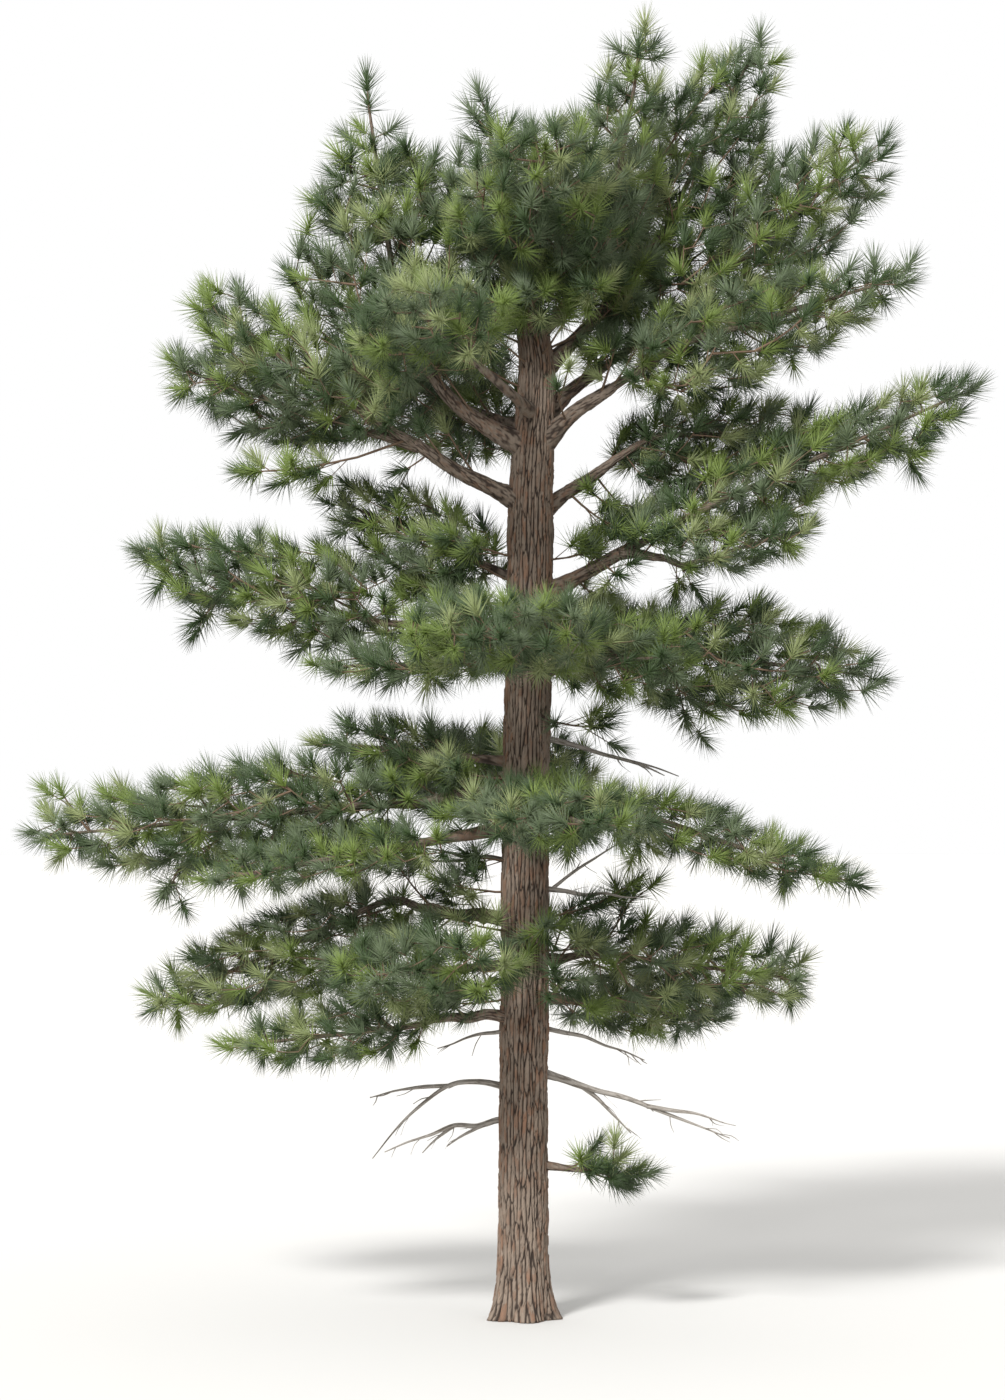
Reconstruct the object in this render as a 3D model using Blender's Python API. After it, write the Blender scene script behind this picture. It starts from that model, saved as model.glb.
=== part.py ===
"""A wild torrey pine, 12 m tall: one straight trunk, layered boughs below, a broad many-headed crown above.

Metres, +Z up, origin at the middle of the flat cut under the trunk. +X is to the right of the front view,
and the front faces -Y. Azimuths are in degrees, 0 to the right and 90 to the back.
"""

import math
import random
from collections import namedtuple

import bmesh
import bpy
from mathutils import Matrix, Vector
from mathutils.bvhtree import BVHTree

PLANT_NAME = "torrey_pine"

# Trunk: height, sideways lean, lean to the back and radius, from the ground to the tip
Station = namedtuple("Station", "height lean depth radius")
TRUNK_STATIONS = (
    Station(0.0, 0.000, 0.00, 0.245),
    Station(1.0, 0.000, 0.00, 0.222),
    Station(4.1, 0.020, 0.03, 0.212),
    Station(7.4, 0.070, 0.00, 0.205),
    Station(8.7, 0.130, -0.04, 0.165),
    Station(9.5, 0.020, -0.03, 0.105),
    Station(10.3, -0.230, 0.02, 0.050),
)
TRUNK_SIDES = 16
TRUNK_RINGS = 13
FOOT_CROWDING = 1.45
FLARE_OUT = 0.125
FLARE_HEIGHT = 0.17
FLARE_TOES = 5
TOE_SHARE = 0.38
TOE_TURN = 0.55

# Clearance between neighbours, and how far a twig's root runs into the wood that carries it
GAP = 0.0003
ROOT_DEPTH = 0.08

# Limbs: bevel rounding (1 gives six sides, 0 gives four), steps along each, and how far a step wanders
# for each metre of reach
BOUGH_ROUNDING = 1
STEM_ROUNDING = 0
BOUGH_STEPS = 6
FORK_STEPS = 3
STEM_STEPS = 3
WANDER = 0.018
STEP_SLACK = 0.1

# Boughs: what carries it, where (metres up the trunk, or a share of its bough), azimuth, reach and rise of
# the whole limb, how far its middle bows out along and up from the straight line, the radii at root and tip,
# and the share of the limb that is bare: there the solid ends and the mass of needles takes it on
Bough = namedtuple("Bough", "name on at azimuth reach rise bow_out bow_up thick thin bare")
BOUGHS = (
    Bough("bough_left_lowest", "trunk", 3.68, 165, 1.32, 0.14, 0.0, -0.03, 0.070, 0.045, 0.70),
    Bough("bough_left_low_front", "trunk", 2.76, 197, 1.05, -0.05, 0.0, 0.05, 0.058, 0.036, 0.75),
    Bough("bough_right_lowest", "trunk", 3.26, 14, 1.05, 0.06, 0.0, 0.03, 0.062, 0.042, 0.36),
    Bough("bough_left_second", "trunk", 4.88, 189, 1.85, -0.18, 0.0, -0.04, 0.078, 0.048, 0.52),
    Bough("bough_right_second", "trunk", 4.92, -11, 1.35, -0.36, 0.0, 0.03, 0.066, 0.042, 0.55),
    Bough("bough_left_third", "trunk", 6.35, 171, 1.80, 0.12, 0.0, -0.05, 0.068, 0.042, 0.55),
    Bough("bough_right_third", "trunk", 5.88, 12, 1.62, 0.24, 0.0, 0.12, 0.066, 0.040, 0.50),
    Bough("bough_right_fourth", "trunk", 6.58, -8, 2.50, 1.22, 0.0, 0.06, 0.082, 0.044, 0.40),
    Bough("arm_right_fourth", "bough_right_fourth", 0.70, -24, 0.62, -0.12, 0.0, 0.02, 0.044, 0.030, 0.70),
    Bough("limb_right_fifth", "trunk", 7.32, 13, 1.80, 0.96, 0.0, 0.16, 0.078, 0.042, 0.42),
    Bough("limb_right_sixth", "trunk", 7.95, -16, 2.12, 1.20, 0.0, 0.20, 0.084, 0.044, 0.36),
    Bough("limb_right_seventh", "trunk", 8.24, 20, 2.08, 1.42, 0.0, 0.10, 0.084, 0.044, 0.32),
    Bough("leader_right_inner", "trunk", 9.00, -28, 0.98, 1.42, 0.10, -0.12, 0.062, 0.038, 0.32),
    Bough("leader_right_outer", "trunk", 8.66, 32, 1.95, 1.98, 0.05, -0.02, 0.074, 0.040, 0.36),
    Bough("leader_left", "trunk", 8.00, 187, 1.50, 1.80, 0.24, -0.22, 0.096, 0.050, 0.46),
    Bough("bough_crown_left", "trunk", 7.46, 193, 2.05, 1.18, 0.0, -0.08, 0.086, 0.042, 0.58),
    Bough("arm_crown_left", "bough_crown_left", 0.80, 166, 1.00, 0.30, 0.0, -0.02, 0.044, 0.032, 0.50),
)

# Dead limbs: height on the trunk, azimuth, reach and rise, how far the middle bows up, the radius at the
# root, and forks given as the share of the limb where each springs, its turn in degrees, reach and rise
Dead = namedtuple("Dead", "name at azimuth reach rise bow_up thick forks")
LEFT_LIMB_FORKS = ((0.25, 18, 0.42, -0.2), (0.5, -20, 0.3, -0.26))
RIGHT_LIMB_FORKS = ((0.28, 10, 0.46, -0.44), (0.6, -14, 0.72, -0.12))
DEAD_LIMBS = (
    Dead("dead_limb_left_first", 1.80, 186, 1.28, -0.26, 0.09, 0.034, LEFT_LIMB_FORKS),
    Dead("dead_limb_left_second", 2.06, 170, 1.42, -0.62, 0.36, 0.036, ((0.5, -14, 0.80, -0.14),)),
    Dead("dead_limb_left_third", 2.68, 182, 0.80, -0.20, 0.02, 0.026, ()),
    Dead("dead_limb_left_fourth", 4.22, 176, 1.08, -0.04, 0.03, 0.028, ((0.45, 12, 0.52, 0.10),)),
    Dead("dead_limb_right_first", 2.30, -8, 1.90, -0.62, 0.01, 0.040, RIGHT_LIMB_FORKS),
    Dead("dead_limb_right_second", 2.69, 12, 1.14, -0.34, 0.05, 0.028, ()),
    Dead("dead_limb_right_third", 3.98, -5, 1.10, -0.10, -0.02, 0.030, ((0.22, 16, 0.66, 0.44),)),
    Dead("dead_limb_right_fourth", 5.34, 8, 1.42, -0.36, 0.04, 0.032, ((0.55, -14, 0.50, -0.18),)),
)
DEAD_TIP = 0.009
DEAD_FORK_TIP = 0.007
DEAD_FORK_SHARE = 0.6
DEAD_FORK_BOW = 0.02

# Masses of needles. Each keeps to a space whose far tip is given by its azimuth about the trunk, how far out
# it is and how high. Width and depth are half of what the space measures across its axis, sideways and up and
# down, and it loses the taper's share of both by its tip. The space begins where the bare bough ends, or a
# bare length along a stem that springs from the trunk.
SPACE_TAPER = 0.35
Mass = namedtuple("Mass", "name on azimuth out high width depth at bare taper", defaults=(0, 0, SPACE_TAPER))
MASSES = (
    Mass("needles_left_lowest", "bough_left_lowest", 168, 3.74, 2.76, 1.15, 0.68),
    Mass("needles_left_low_front", "bough_left_low_front", 198, 2.98, 2.54, 0.92, 0.48),
    Mass("needles_right_lowest", "bough_right_lowest", 6, 2.86, 3.08, 1.12, 0.64),
    Mass("needles_left_second", "bough_left_second", 184, 4.66, 4.42, 1.20, 0.76),
    Mass("needles_right_second", "bough_right_second", -6, 3.22, 3.92, 1.05, 0.44),
    Mass("needles_left_third", "bough_left_third", 175, 3.74, 7.08, 1.08, 0.72),
    Mass("needles_right_third", "bough_right_third", 5, 3.46, 5.90, 1.12, 0.76),
    Mass("needles_right_fourth", "bough_right_fourth", -3, 4.30, 8.62, 1.02, 0.60),
    Mass("needles_right_under", "arm_right_fourth", -16, 2.88, 7.26, 0.88, 0.44),
    Mass("needles_right_fifth", "limb_right_fifth", 14, 3.05, 8.26, 1.08, 0.64),
    Mass("needles_right_sixth", "limb_right_sixth", -10, 3.80, 9.64, 1.15, 0.74, taper=0.50),
    Mass("needles_right_seventh", "limb_right_seventh", 12, 3.56, 11.02, 1.15, 0.92),
    Mass("needles_leader_right_inner", "leader_right_inner", -22, 1.27, 11.98, 0.95, 0.80, taper=0.55),
    Mass("needles_leader_right_outer", "leader_right_outer", 16, 2.40, 11.98, 1.00, 0.84),
    Mass("needles_leader_left", "leader_left", 186, 1.52, 11.54, 1.30, 2.02, taper=0.96),
    Mass("needles_crown_left", "bough_crown_left", 188, 3.14, 9.44, 1.05, 0.70),
    Mass("needles_crown_left_low", "arm_crown_left", 174, 3.44, 8.84, 0.98, 0.60),
    Mass("needles_trunk_tip", "trunk_tip", 160, 0.38, 11.50, 0.80, 0.74, bare=-0.45, taper=0.70),
    Mass("needles_left_second_inner", "trunk", 167, 2.15, 5.32, 0.80, 0.48, at=5.10, bare=0.20),
    Mass("needles_left_second_low", "trunk", 216, 3.60, 4.08, 0.92, 0.38, at=4.54, bare=0.60),
    Mass("needles_left_third_low", "trunk", 203, 2.20, 5.98, 0.98, 0.40, at=6.04, bare=0.20),
    Mass("needles_left_third_high", "trunk", 158, 2.12, 7.66, 0.90, 0.66, at=6.74, bare=0.00),
    Mass("needles_right_third_inner", "trunk", -33, 1.95, 6.08, 0.80, 0.60, at=6.02, bare=0.15),
    Mass("needles_front_lowest", "trunk", 236, 2.85, 3.28, 1.02, 0.58, at=3.26, bare=0.50),
    Mass("needles_back_lowest", "trunk", 44, 2.75, 2.58, 1.00, 0.44, at=2.98, bare=0.30),
    Mass("needles_front_second", "trunk", 281, 3.20, 4.60, 1.15, 0.50, at=4.74, bare=0.35),
    Mass("needles_back_second", "trunk", 101, 3.60, 5.00, 1.35, 0.64, at=4.96, bare=0.40),
    Mass("needles_front_third", "trunk", 262, 3.25, 6.26, 1.20, 0.60, at=6.24, bare=0.35),
    Mass("needles_back_third", "trunk", 74, 3.60, 6.28, 1.35, 0.62, at=6.24, bare=0.40),
    Mass("needles_front_fourth", "trunk", 250, 3.20, 9.15, 1.22, 0.76, at=8.30, bare=0.35),
    Mass("needles_back_fourth", "trunk", 118, 3.45, 8.98, 1.30, 0.80, at=8.14, bare=0.35),
    Mass("needles_front_fifth", "trunk", 276, 2.10, 10.74, 1.02, 0.86, at=9.50, bare=0.20),
    Mass("needles_back_fifth", "trunk", 66, 2.75, 10.60, 1.25, 0.88, at=9.28, bare=0.20),
    Mass("needles_low_tuft_right", "trunk", -6, 1.30, 1.28, 0.42, 0.30, at=1.43, bare=0.14),
)
SPACE_SQUARENESS = 2.3

# Stems of the masses: radius at the trunk, and how it grows with the stem's length
STEM_THICK = 0.030
STEM_THICK_PER_METRE = 0.010
STEM_THIN = 0.026
STEM_LEAD = 0.10

# Sprays of needles. Each is a slim three-sided core at the end of a twig, with seven long needles standing
# out of it: three turned back a little, three forward and one straight on. It stands for several tufts.
TWIG_SIDES = 3
TWIG_THICK = 0.016
TWIG_TAPER = 0.9
CORE_RADIUS = 0.070
CORE_END = 0.030
CORE_LENGTH = 0.22
CORE_TOP = 0.95
NEEDLE_REACH = 0.49
NEEDLE_TILTS = (math.radians(30), math.radians(58))
NEEDLE_JITTER = math.radians(7)
SHORTEST_NEEDLE = 0.88

# How the sprays are placed: each is tried at full size first, then a little aside and smaller
SPRAY_TRIES = (
    (1.0, 0.0),
    (1.0, 0.1),
    (1.0, 0.2),
    (0.9, 0.2),
    (0.9, 0.3),
    (0.8, 0.3),
    (0.7, 0.2),
    (0.6, 0.05),
)
SPRAY_SPACING = 0.535
SPRAY_MARGIN = 0.20
LEAST_SPREAD = 0.08
OVERHANG = 1.25
DART_TRIES = 2500
CLEARANCE_SCALE = 1.03
SET_BACK = 0.10
TIP_SPRAY_SINK = 0.06
TIP_SPRAY_OUT = 0.08

# Where a twig may spring from: places along the stem, and forks on a twig that is long enough
WOOD_STEP = 0.12
WOOD_DEPTH = 1.2
BACKWARD_COST = 1.6
SLANT_GAIN = 0.6
SHORTEST_TWIG = 0.12
FORKING_TWIG = 0.32
FORKS_AT = (0.45, 0.75)
FORK_THICK = 0.009


def clear_scene():
    for old in list(bpy.data.objects):
        bpy.data.objects.remove(old, do_unlink=True)


def new_collection(name):
    collection = bpy.data.collections.new(name)
    bpy.context.scene.collection.children.link(collection)
    return collection


def plain_material(name, colour, roughness):
    """One Principled finish."""
    material = bpy.data.materials.new(name)
    material.use_nodes = True
    shader = material.node_tree.nodes["Principled BSDF"]
    shader.inputs["Base Color"].default_value = (*colour, 1.0)
    shader.inputs["Roughness"].default_value = roughness
    shader.inputs["Metallic"].default_value = 0.0
    return material


def finish(piece, material, smooth=False):
    """Gives a piece its one material, and rounds its shading where that is wanted."""
    piece.data.materials.clear()
    piece.data.materials.append(material)
    if smooth:
        piece.data.shade_smooth()
        piece.data.set_sharp_from_angle(angle=math.radians(40))


def heading_of(azimuth):
    """Level unit vector at an azimuth in degrees."""
    turn = math.radians(azimuth)
    return Vector((math.cos(turn), math.sin(turn), 0.0))


def trunk_at(height):
    """Middle and radius of the trunk at a height, eased from station to station."""
    height = min(max(height, 0.0), TRUNK_STATIONS[-1].height)
    upper = next(i for i in range(1, len(TRUNK_STATIONS)) if height <= TRUNK_STATIONS[i].height)
    low, high = TRUNK_STATIONS[upper - 1], TRUNK_STATIONS[upper]
    share = (height - low.height) / (high.height - low.height)
    eased = share * share * (3.0 - 2.0 * share)
    lean = low.lean + (high.lean - low.lean) * eased
    depth = low.depth + (high.depth - low.depth) * eased
    return Vector((lean, depth, height)), low.radius + (high.radius - low.radius) * share


def flare_at(height, angle):
    """How far the root flare stands out of the trunk, with rounded toes."""
    toes = 1.0 - TOE_SHARE + TOE_SHARE * math.cos(FLARE_TOES * angle + TOE_TURN)
    return FLARE_OUT * toes * math.exp(-height / FLARE_HEIGHT)


def mesh_object(name, source, collection):
    """A new object from a bmesh, which is freed."""
    mesh = bpy.data.meshes.new(name)
    source.to_mesh(mesh)
    source.free()
    piece = bpy.data.objects.new(name, mesh)
    collection.objects.link(piece)
    return piece


def make_trunk(collection):
    """A cylinder cut into rings, each ring set to the trunk's middle, radius and flare at its height."""
    shape = bmesh.new()
    raised = Matrix.Translation((0, 0, 0.5))
    bmesh.ops.create_cone(
        shape, cap_ends=True, segments=TRUNK_SIDES, radius1=1.0, radius2=1.0, depth=1.0, matrix=raised
    )
    upright = [edge for edge in shape.edges if abs(edge.verts[0].co.z - edge.verts[1].co.z) > 0.5]
    bmesh.ops.subdivide_edges(shape, edges=upright, cuts=TRUNK_RINGS, use_grid_fill=True)
    top = TRUNK_STATIONS[-1].height
    for corner in shape.verts:
        angle = math.atan2(corner.co.y, corner.co.x)
        height = top * corner.co.z**FOOT_CROWDING
        middle, radius = trunk_at(height)
        outward = Vector((math.cos(angle), math.sin(angle), 0.0))
        corner.co = middle + outward * (radius + flare_at(height, angle))
    return mesh_object("trunk", shape, collection)


def limb_path(name, start, run, bow, steps):
    """Points along a bowed limb, each inner one set off a little by the limb's own seeded draw."""
    azimuth, reach, rise = run
    bow_out, bow_up = bow
    draw = random.Random(name)
    along = heading_of(azimuth)
    across = Vector((-along.y, along.x, 0.0))
    end = start + along * reach + Vector((0, 0, rise))
    bend = (start + end) / 2 + (along * bow_out + Vector((0, 0, bow_up))) * 2
    points = []
    for step in range(steps + 1):
        share = step / steps
        point = start * (1 - share) ** 2 + bend * 2 * share * (1 - share) + end * share**2
        if 0 < step < steps:
            aside = draw.uniform(-WANDER, WANDER)
            lift = draw.uniform(-WANDER, WANDER)
            point += (across * aside + Vector((0, 0, lift))) * reach
        points.append(point)
    return points


def point_along(path, share):
    """The point at a share of a path's length, counted by its steps."""
    place = share * (len(path) - 1)
    low = min(int(place), len(path) - 2)
    return path[low].lerp(path[low + 1], place - low)


def split_path(path, share):
    """A path up to a share of its steps, and its points past that."""
    steps = share * (len(path) - 1)
    before, past = path[: math.ceil(steps - STEP_SLACK)], path[math.ceil(steps + STEP_SLACK) :]
    return before + [point_along(path, share)], past


def tapered(thick, thin, count):
    return [thick + (thin - thick) * index / (count - 1) for index in range(count)]


def tube(name, points, radii, rounding, collection):
    """A tapering tube: one poly curve with its bevel, made a mesh with welded caps."""
    curve = bpy.data.curves.new(name, "CURVE")
    curve.dimensions = "3D"
    curve.bevel_depth = 1.0
    curve.bevel_resolution = rounding
    curve.use_fill_caps = True
    spline = curve.splines.new("POLY")
    spline.points.add(len(points) - 1)
    for knot, place, radius in zip(spline.points, points, radii):
        knot.co = (*place, 1.0)
        knot.radius = radius
    guide = bpy.data.objects.new(name, curve)
    collection.objects.link(guide)
    bpy.context.view_layer.update()
    mesh = bpy.data.meshes.new_from_object(guide.evaluated_get(bpy.context.evaluated_depsgraph_get()))
    bpy.data.objects.remove(guide)
    bpy.data.curves.remove(curve)
    shape = bmesh.new()
    shape.from_mesh(mesh)
    bpy.data.meshes.remove(mesh)
    bmesh.ops.remove_doubles(shape, verts=shape.verts, dist=1e-5)
    bmesh.ops.recalc_face_normals(shape, faces=shape.faces)
    return mesh_object(name, shape, collection)


def grown_copy(piece, cutters):
    """A copy of a solid pushed out by the gap, used to cut its neighbours clear."""
    shape = bmesh.new()
    shape.from_mesh(piece.data)
    shape.normal_update()
    pushed = [corner.co + corner.normal * GAP * corner.calc_shell_factor() for corner in shape.verts]
    for corner, place in zip(shape.verts, pushed):
        corner.co = place
    cutter = mesh_object(piece.name + "_cutter", shape, cutters)
    cutter.hide_render = True
    cutter.display_type = "WIRE"
    return cutter


def apply_modifier(piece, modifier):
    """Makes the modified shape the piece's own mesh."""
    bpy.context.view_layer.update()
    finished = bpy.data.meshes.new_from_object(piece.evaluated_get(bpy.context.evaluated_depsgraph_get()))
    piece.modifiers.remove(modifier)
    old = piece.data
    piece.data = finished
    finished.name = old.name
    bpy.data.meshes.remove(old)


def cut_clear(piece, cutter):
    """Takes away what of a limb lies inside the neighbour that carries it."""
    cut = piece.modifiers.new("seat", "BOOLEAN")
    cut.operation = "DIFFERENCE"
    cut.solver = "EXACT"
    cut.object = cutter
    apply_modifier(piece, cut)


def bodies_of(shape):
    """The separate bodies in a bmesh, as lists of faces."""
    left = set(shape.faces)
    bodies = []
    while left:
        body = [left.pop()]
        for face in body:
            fresh = {neighbour for edge in face.edges for neighbour in edge.link_faces} & left
            left -= fresh
            body += sorted(fresh, key=lambda near: near.index)
        bodies.append(body)
    return bodies


def volume_of(faces):
    """Signed volume of a closed body of triangles."""
    corners = [[corner.co for corner in face.verts] for face in faces]
    return sum(first.dot(second.cross(third)) for first, second, third in corners) / 6


def keep_one_body(piece):
    """Drops loose scraps and fills sealed hollows, so that one closed body is left."""
    shape = bmesh.new()
    shape.from_mesh(piece.data)
    bmesh.ops.triangulate(shape, faces=shape.faces)
    bodies = sorted(bodies_of(shape), key=volume_of, reverse=True)
    scraps = [face for body in bodies[1:] for face in body]
    bmesh.ops.delete(shape, geom=scraps, context="FACES")
    stray = [corner for corner in shape.verts if not corner.link_faces]
    bmesh.ops.delete(shape, geom=stray, context="VERTS")
    shape.to_mesh(piece.data)
    shape.free()


def fuse(piece, shapes):
    """One union of a solid with a collection of other shapes, whose objects are then removed."""
    heap = new_collection(piece.name + "_heap")
    for shape in shapes:
        mesh_object(piece.name + "_part", shape, heap)
    union = piece.modifiers.new("fuse", "BOOLEAN")
    union.operation = "UNION"
    union.operand_type = "COLLECTION"
    union.collection = heap
    union.solver = "EXACT"
    apply_modifier(piece, union)
    for part in list(heap.objects):
        mesh = part.data
        bpy.data.objects.remove(part)
        bpy.data.meshes.remove(mesh)
    bpy.data.collections.remove(heap)
    keep_one_body(piece)


def shape_of(piece):
    """A bmesh of a piece, whose object is then removed."""
    shape = bmesh.new()
    shape.from_mesh(piece.data)
    mesh = piece.data
    bpy.data.objects.remove(piece)
    bpy.data.meshes.remove(mesh)
    return shape


def tree_of(piece):
    """Search tree over a piece's faces."""
    shape = bmesh.new()
    shape.from_mesh(piece.data)
    tree = BVHTree.FromBMesh(shape)
    shape.free()
    return tree


class Space:
    """The room that one mass keeps to: a rounded volume along an axis."""

    def __init__(self, start, tip, width, depth, taper):
        line = tip - start
        self.along = line.normalized()
        self.across = Vector((0, 0, 1)).cross(self.along).normalized()
        self.up = self.along.cross(self.across)
        self.half = (line.length / 2, width, depth)
        self.middle = (start + tip) / 2
        self.taper = taper

    def halves_at(self, forward):
        """Half its length, width and depth where it is cut across, from -1 at its root to 1 at its tip."""
        length, width, depth = self.half
        left = 1 - self.taper * min(max(forward + 1, 0), 2) / 2
        return length, width * left, depth * left

    def depth_of(self, point):
        """0 at the middle of the space, 1 at its surface."""
        offset = point - self.middle
        parts = (offset.dot(self.along), offset.dot(self.across), offset.dot(self.up))
        halves = self.halves_at(parts[0] / self.half[0])
        return roundness([part / half for part, half in zip(parts, halves)])

    def place(self, ball):
        """The point for coordinates from -1 to 1, held a margin inside the surface."""
        reaches = [max(half - SPRAY_MARGIN, LEAST_SPREAD) for half in self.halves_at(ball[0])]
        offset = Vector()
        for axis, part, reach in zip((self.along, self.across, self.up), ball, reaches):
            offset += axis * part * reach
        return self.middle + offset


def roundness(parts):
    """Distance from the middle of a rounded box from -1 to 1: 1 at its surface."""
    return sum(abs(part) ** SPACE_SQUARENESS for part in parts) ** (1 / SPACE_SQUARENESS)


def draw_out_core(shape, twig, share):
    """Draws a twig's end cap out into a core of two steps, each turned a sixth of a turn."""
    cap = max(shape.faces, key=lambda face: face.calc_center_median().z)
    for step, radius in enumerate((CORE_RADIUS * share, CORE_END * share), start=1):
        cap = bmesh.ops.extrude_discrete_faces(shape, faces=[cap])["faces"][0]
        level = twig + CORE_LENGTH * share * step / 2
        for corner in cap.verts:
            angle = math.atan2(corner.co.y, corner.co.x) + math.pi / TWIG_SIDES
            corner.co = Vector((math.cos(angle) * radius, math.sin(angle) * radius, level))


def poke_needles(shape, twig, share, draw):
    """Pokes every face of the core into a needle: the low ones stand out, the high ones lean on."""
    half = CORE_LENGTH * share / 2
    walls = [face for face in shape.faces if face.calc_center_median().z > twig]
    for tip in bmesh.ops.poke(shape, faces=walls)["verts"]:
        tilt = NEEDLE_TILTS[0] if tip.co.z < twig + half else NEEDLE_TILTS[1]
        if tip.co.z > twig + CORE_LENGTH * share * CORE_TOP:
            tilt = math.pi / 2
        tilt += draw.uniform(-NEEDLE_JITTER, NEEDLE_JITTER)
        turn = math.atan2(tip.co.y, tip.co.x) + draw.uniform(-NEEDLE_JITTER, NEEDLE_JITTER)
        aim = Vector((math.cos(turn) * math.cos(tilt), math.sin(turn) * math.cos(tilt), math.sin(tilt)))
        tip.co += aim * NEEDLE_REACH * share * draw.uniform(SHORTEST_NEEDLE, 1.0)


def spray_shape(start, end, thick, roll, share, draw):
    """A twig from start to end with a spray of needles on it."""
    line = end - start
    twig = line.length
    shape = bmesh.new()
    raised = Matrix.Translation((0, 0, twig / 2))
    bmesh.ops.create_cone(
        shape,
        cap_ends=True,
        segments=TWIG_SIDES,
        radius1=thick,
        radius2=thick * TWIG_TAPER,
        depth=twig,
        matrix=raised,
    )
    draw_out_core(shape, twig, share)
    poke_needles(shape, twig, share, draw)
    turned = line.to_track_quat("Z", "Y").to_matrix().to_4x4() @ Matrix.Rotation(roll, 4, "Z")
    bmesh.ops.transform(shape, matrix=Matrix.Translation(start) @ turned, verts=shape.verts)
    return shape


def spray_places(space, draw):
    """Seeded darts thrown into the space and kept a spacing apart, the nearest to the root first."""
    places = []
    for _ in range(DART_TRIES):
        ball = [draw.uniform(-1, 1) for _ in range(3)]
        place = space.place(ball)
        if roundness(ball) < 1 and all((place - other).length > SPRAY_SPACING for other in places):
            places.append(place)
    root = space.middle - space.along * space.half[0]
    return sorted(places, key=lambda place: (place - root).length)


def nearest_wood(place, wood, along):
    """The point of stem and twigs that a new twig springs from: near, and behind the new place."""

    def cost(point):
        line = place - point
        return line.length * BACKWARD_COST - line.dot(along) * SLANT_GAIN

    return min(wood, key=cost)


class Crown:
    """What is already built, so that each new twig and spray keeps clear of it."""

    def __init__(self, spaces, limbs):
        self.spaces = spaces
        self.trees = [tree_of(limb) for limb in limbs]

    def claims(self, place, name):
        """True where a place lies deeper in its own mass's space than in any other."""
        depth = self.spaces[name].depth_of(place)
        return all(other.depth_of(place) >= depth for key, other in self.spaces.items() if key != name)

    def is_clear(self, shape):
        """True where a shape, a little swollen, touches nothing that is already there."""
        swollen = shape.copy()
        middle = sum((corner.co for corner in swollen.verts), Vector()) / len(swollen.verts)
        grown = (CLEARANCE_SCALE, CLEARANCE_SCALE, CLEARANCE_SCALE)
        bmesh.ops.scale(swollen, vec=grown, space=Matrix.Translation(-middle), verts=swollen.verts)
        tree = BVHTree.FromBMesh(swollen)
        swollen.free()
        return not any(tree.overlap(other) for other in self.trees)

    def spray_that_fits(self, name, start, end, thick, draw):
        """A spray and its twig's end, turned and shortened until it keeps to its space and is clear."""
        space = self.spaces[name]
        for share, jitter in SPRAY_TRIES:
            place = end + Vector([draw.uniform(-jitter, jitter) for _ in range(3)])
            roll, seed = draw.uniform(0, math.tau), draw.random()
            if (place - start).length < SHORTEST_TWIG:
                continue
            past_root = start + (place - start).normalized() * ROOT_DEPTH
            probe = spray_shape(past_root, place, thick, roll, share, random.Random(seed))
            inside = all(space.depth_of(corner.co) < OVERHANG for corner in probe.verts)
            clear = inside and self.is_clear(probe)
            probe.free()
            if clear:
                spray = spray_shape(start, place, thick, roll, share, random.Random(seed))
                self.trees.append(BVHTree.FromBMesh(spray))
                return spray, place
        return None, None


def wood_along(points, space):
    """Places on a stem that a twig may spring from, each used once."""
    wood = []
    for low, high in zip(points[1:-1], points[2:]):
        count = max(1, round((high - low).length / WOOD_STEP))
        wood += [low.lerp(high, (step + 0.5) / count) for step in range(count)]
    return [point for point in wood if space.depth_of(point) < WOOD_DEPTH]


def tip_spray(name, points, crown, draw):
    """The spray that stands on the end of a stem."""
    onward = (points[-1] - points[-2]).normalized()
    sunk, out = points[-1] - onward * TIP_SPRAY_SINK, points[-1] + onward * TIP_SPRAY_OUT
    return crown.spray_that_fits(name, sunk, out, TWIG_THICK, draw)[0]


def twig_sprays(name, points, crown, draw):
    """The sprays along a stem, on twigs that spring from it and on forks of those twigs."""
    space = crown.spaces[name]
    sprays = []
    wood = {place.freeze(): TWIG_THICK for place in wood_along(points, space)}
    for place in spray_places(space, draw):
        if not wood or not crown.claims(place, name):
            continue
        source = nearest_wood(place, wood, space.along)
        end = place - (place - source).normalized() * SET_BACK
        spray, end = crown.spray_that_fits(name, source, end, wood[source], draw)
        if spray:
            sprays.append(spray)
            thick = wood.pop(source)
            if (end - source).length > FORKING_TWIG and thick == TWIG_THICK:
                wood.update({source.lerp(end, share).freeze(): FORK_THICK for share in FORKS_AT})
    return sprays


def make_boughs(cutter_of, plant, cutters, bark):
    """The boughs, each cut clear of what carries it. Gives each its bare path and the points past that."""
    paths = {}
    for bough in BOUGHS:
        start = trunk_at(bough.at)[0] if bough.on == "trunk" else point_along(paths[bough.on][0], bough.at)
        run = (bough.azimuth, bough.reach, bough.rise)
        whole = limb_path(bough.name, start, run, (bough.bow_out, bough.bow_up), BOUGH_STEPS)
        bare, past = split_path(whole, bough.bare)
        limb = tube(bough.name, bare, tapered(bough.thick, bough.thin, len(bare)), BOUGH_ROUNDING, plant)
        if bough.on not in cutter_of:
            cutter_of[bough.on] = grown_copy(bpy.data.objects[bough.on], cutters)
        cut_clear(limb, cutter_of[bough.on])
        finish(limb, bark, smooth=True)
        paths[bough.name] = (bare, past)
    return paths


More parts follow.
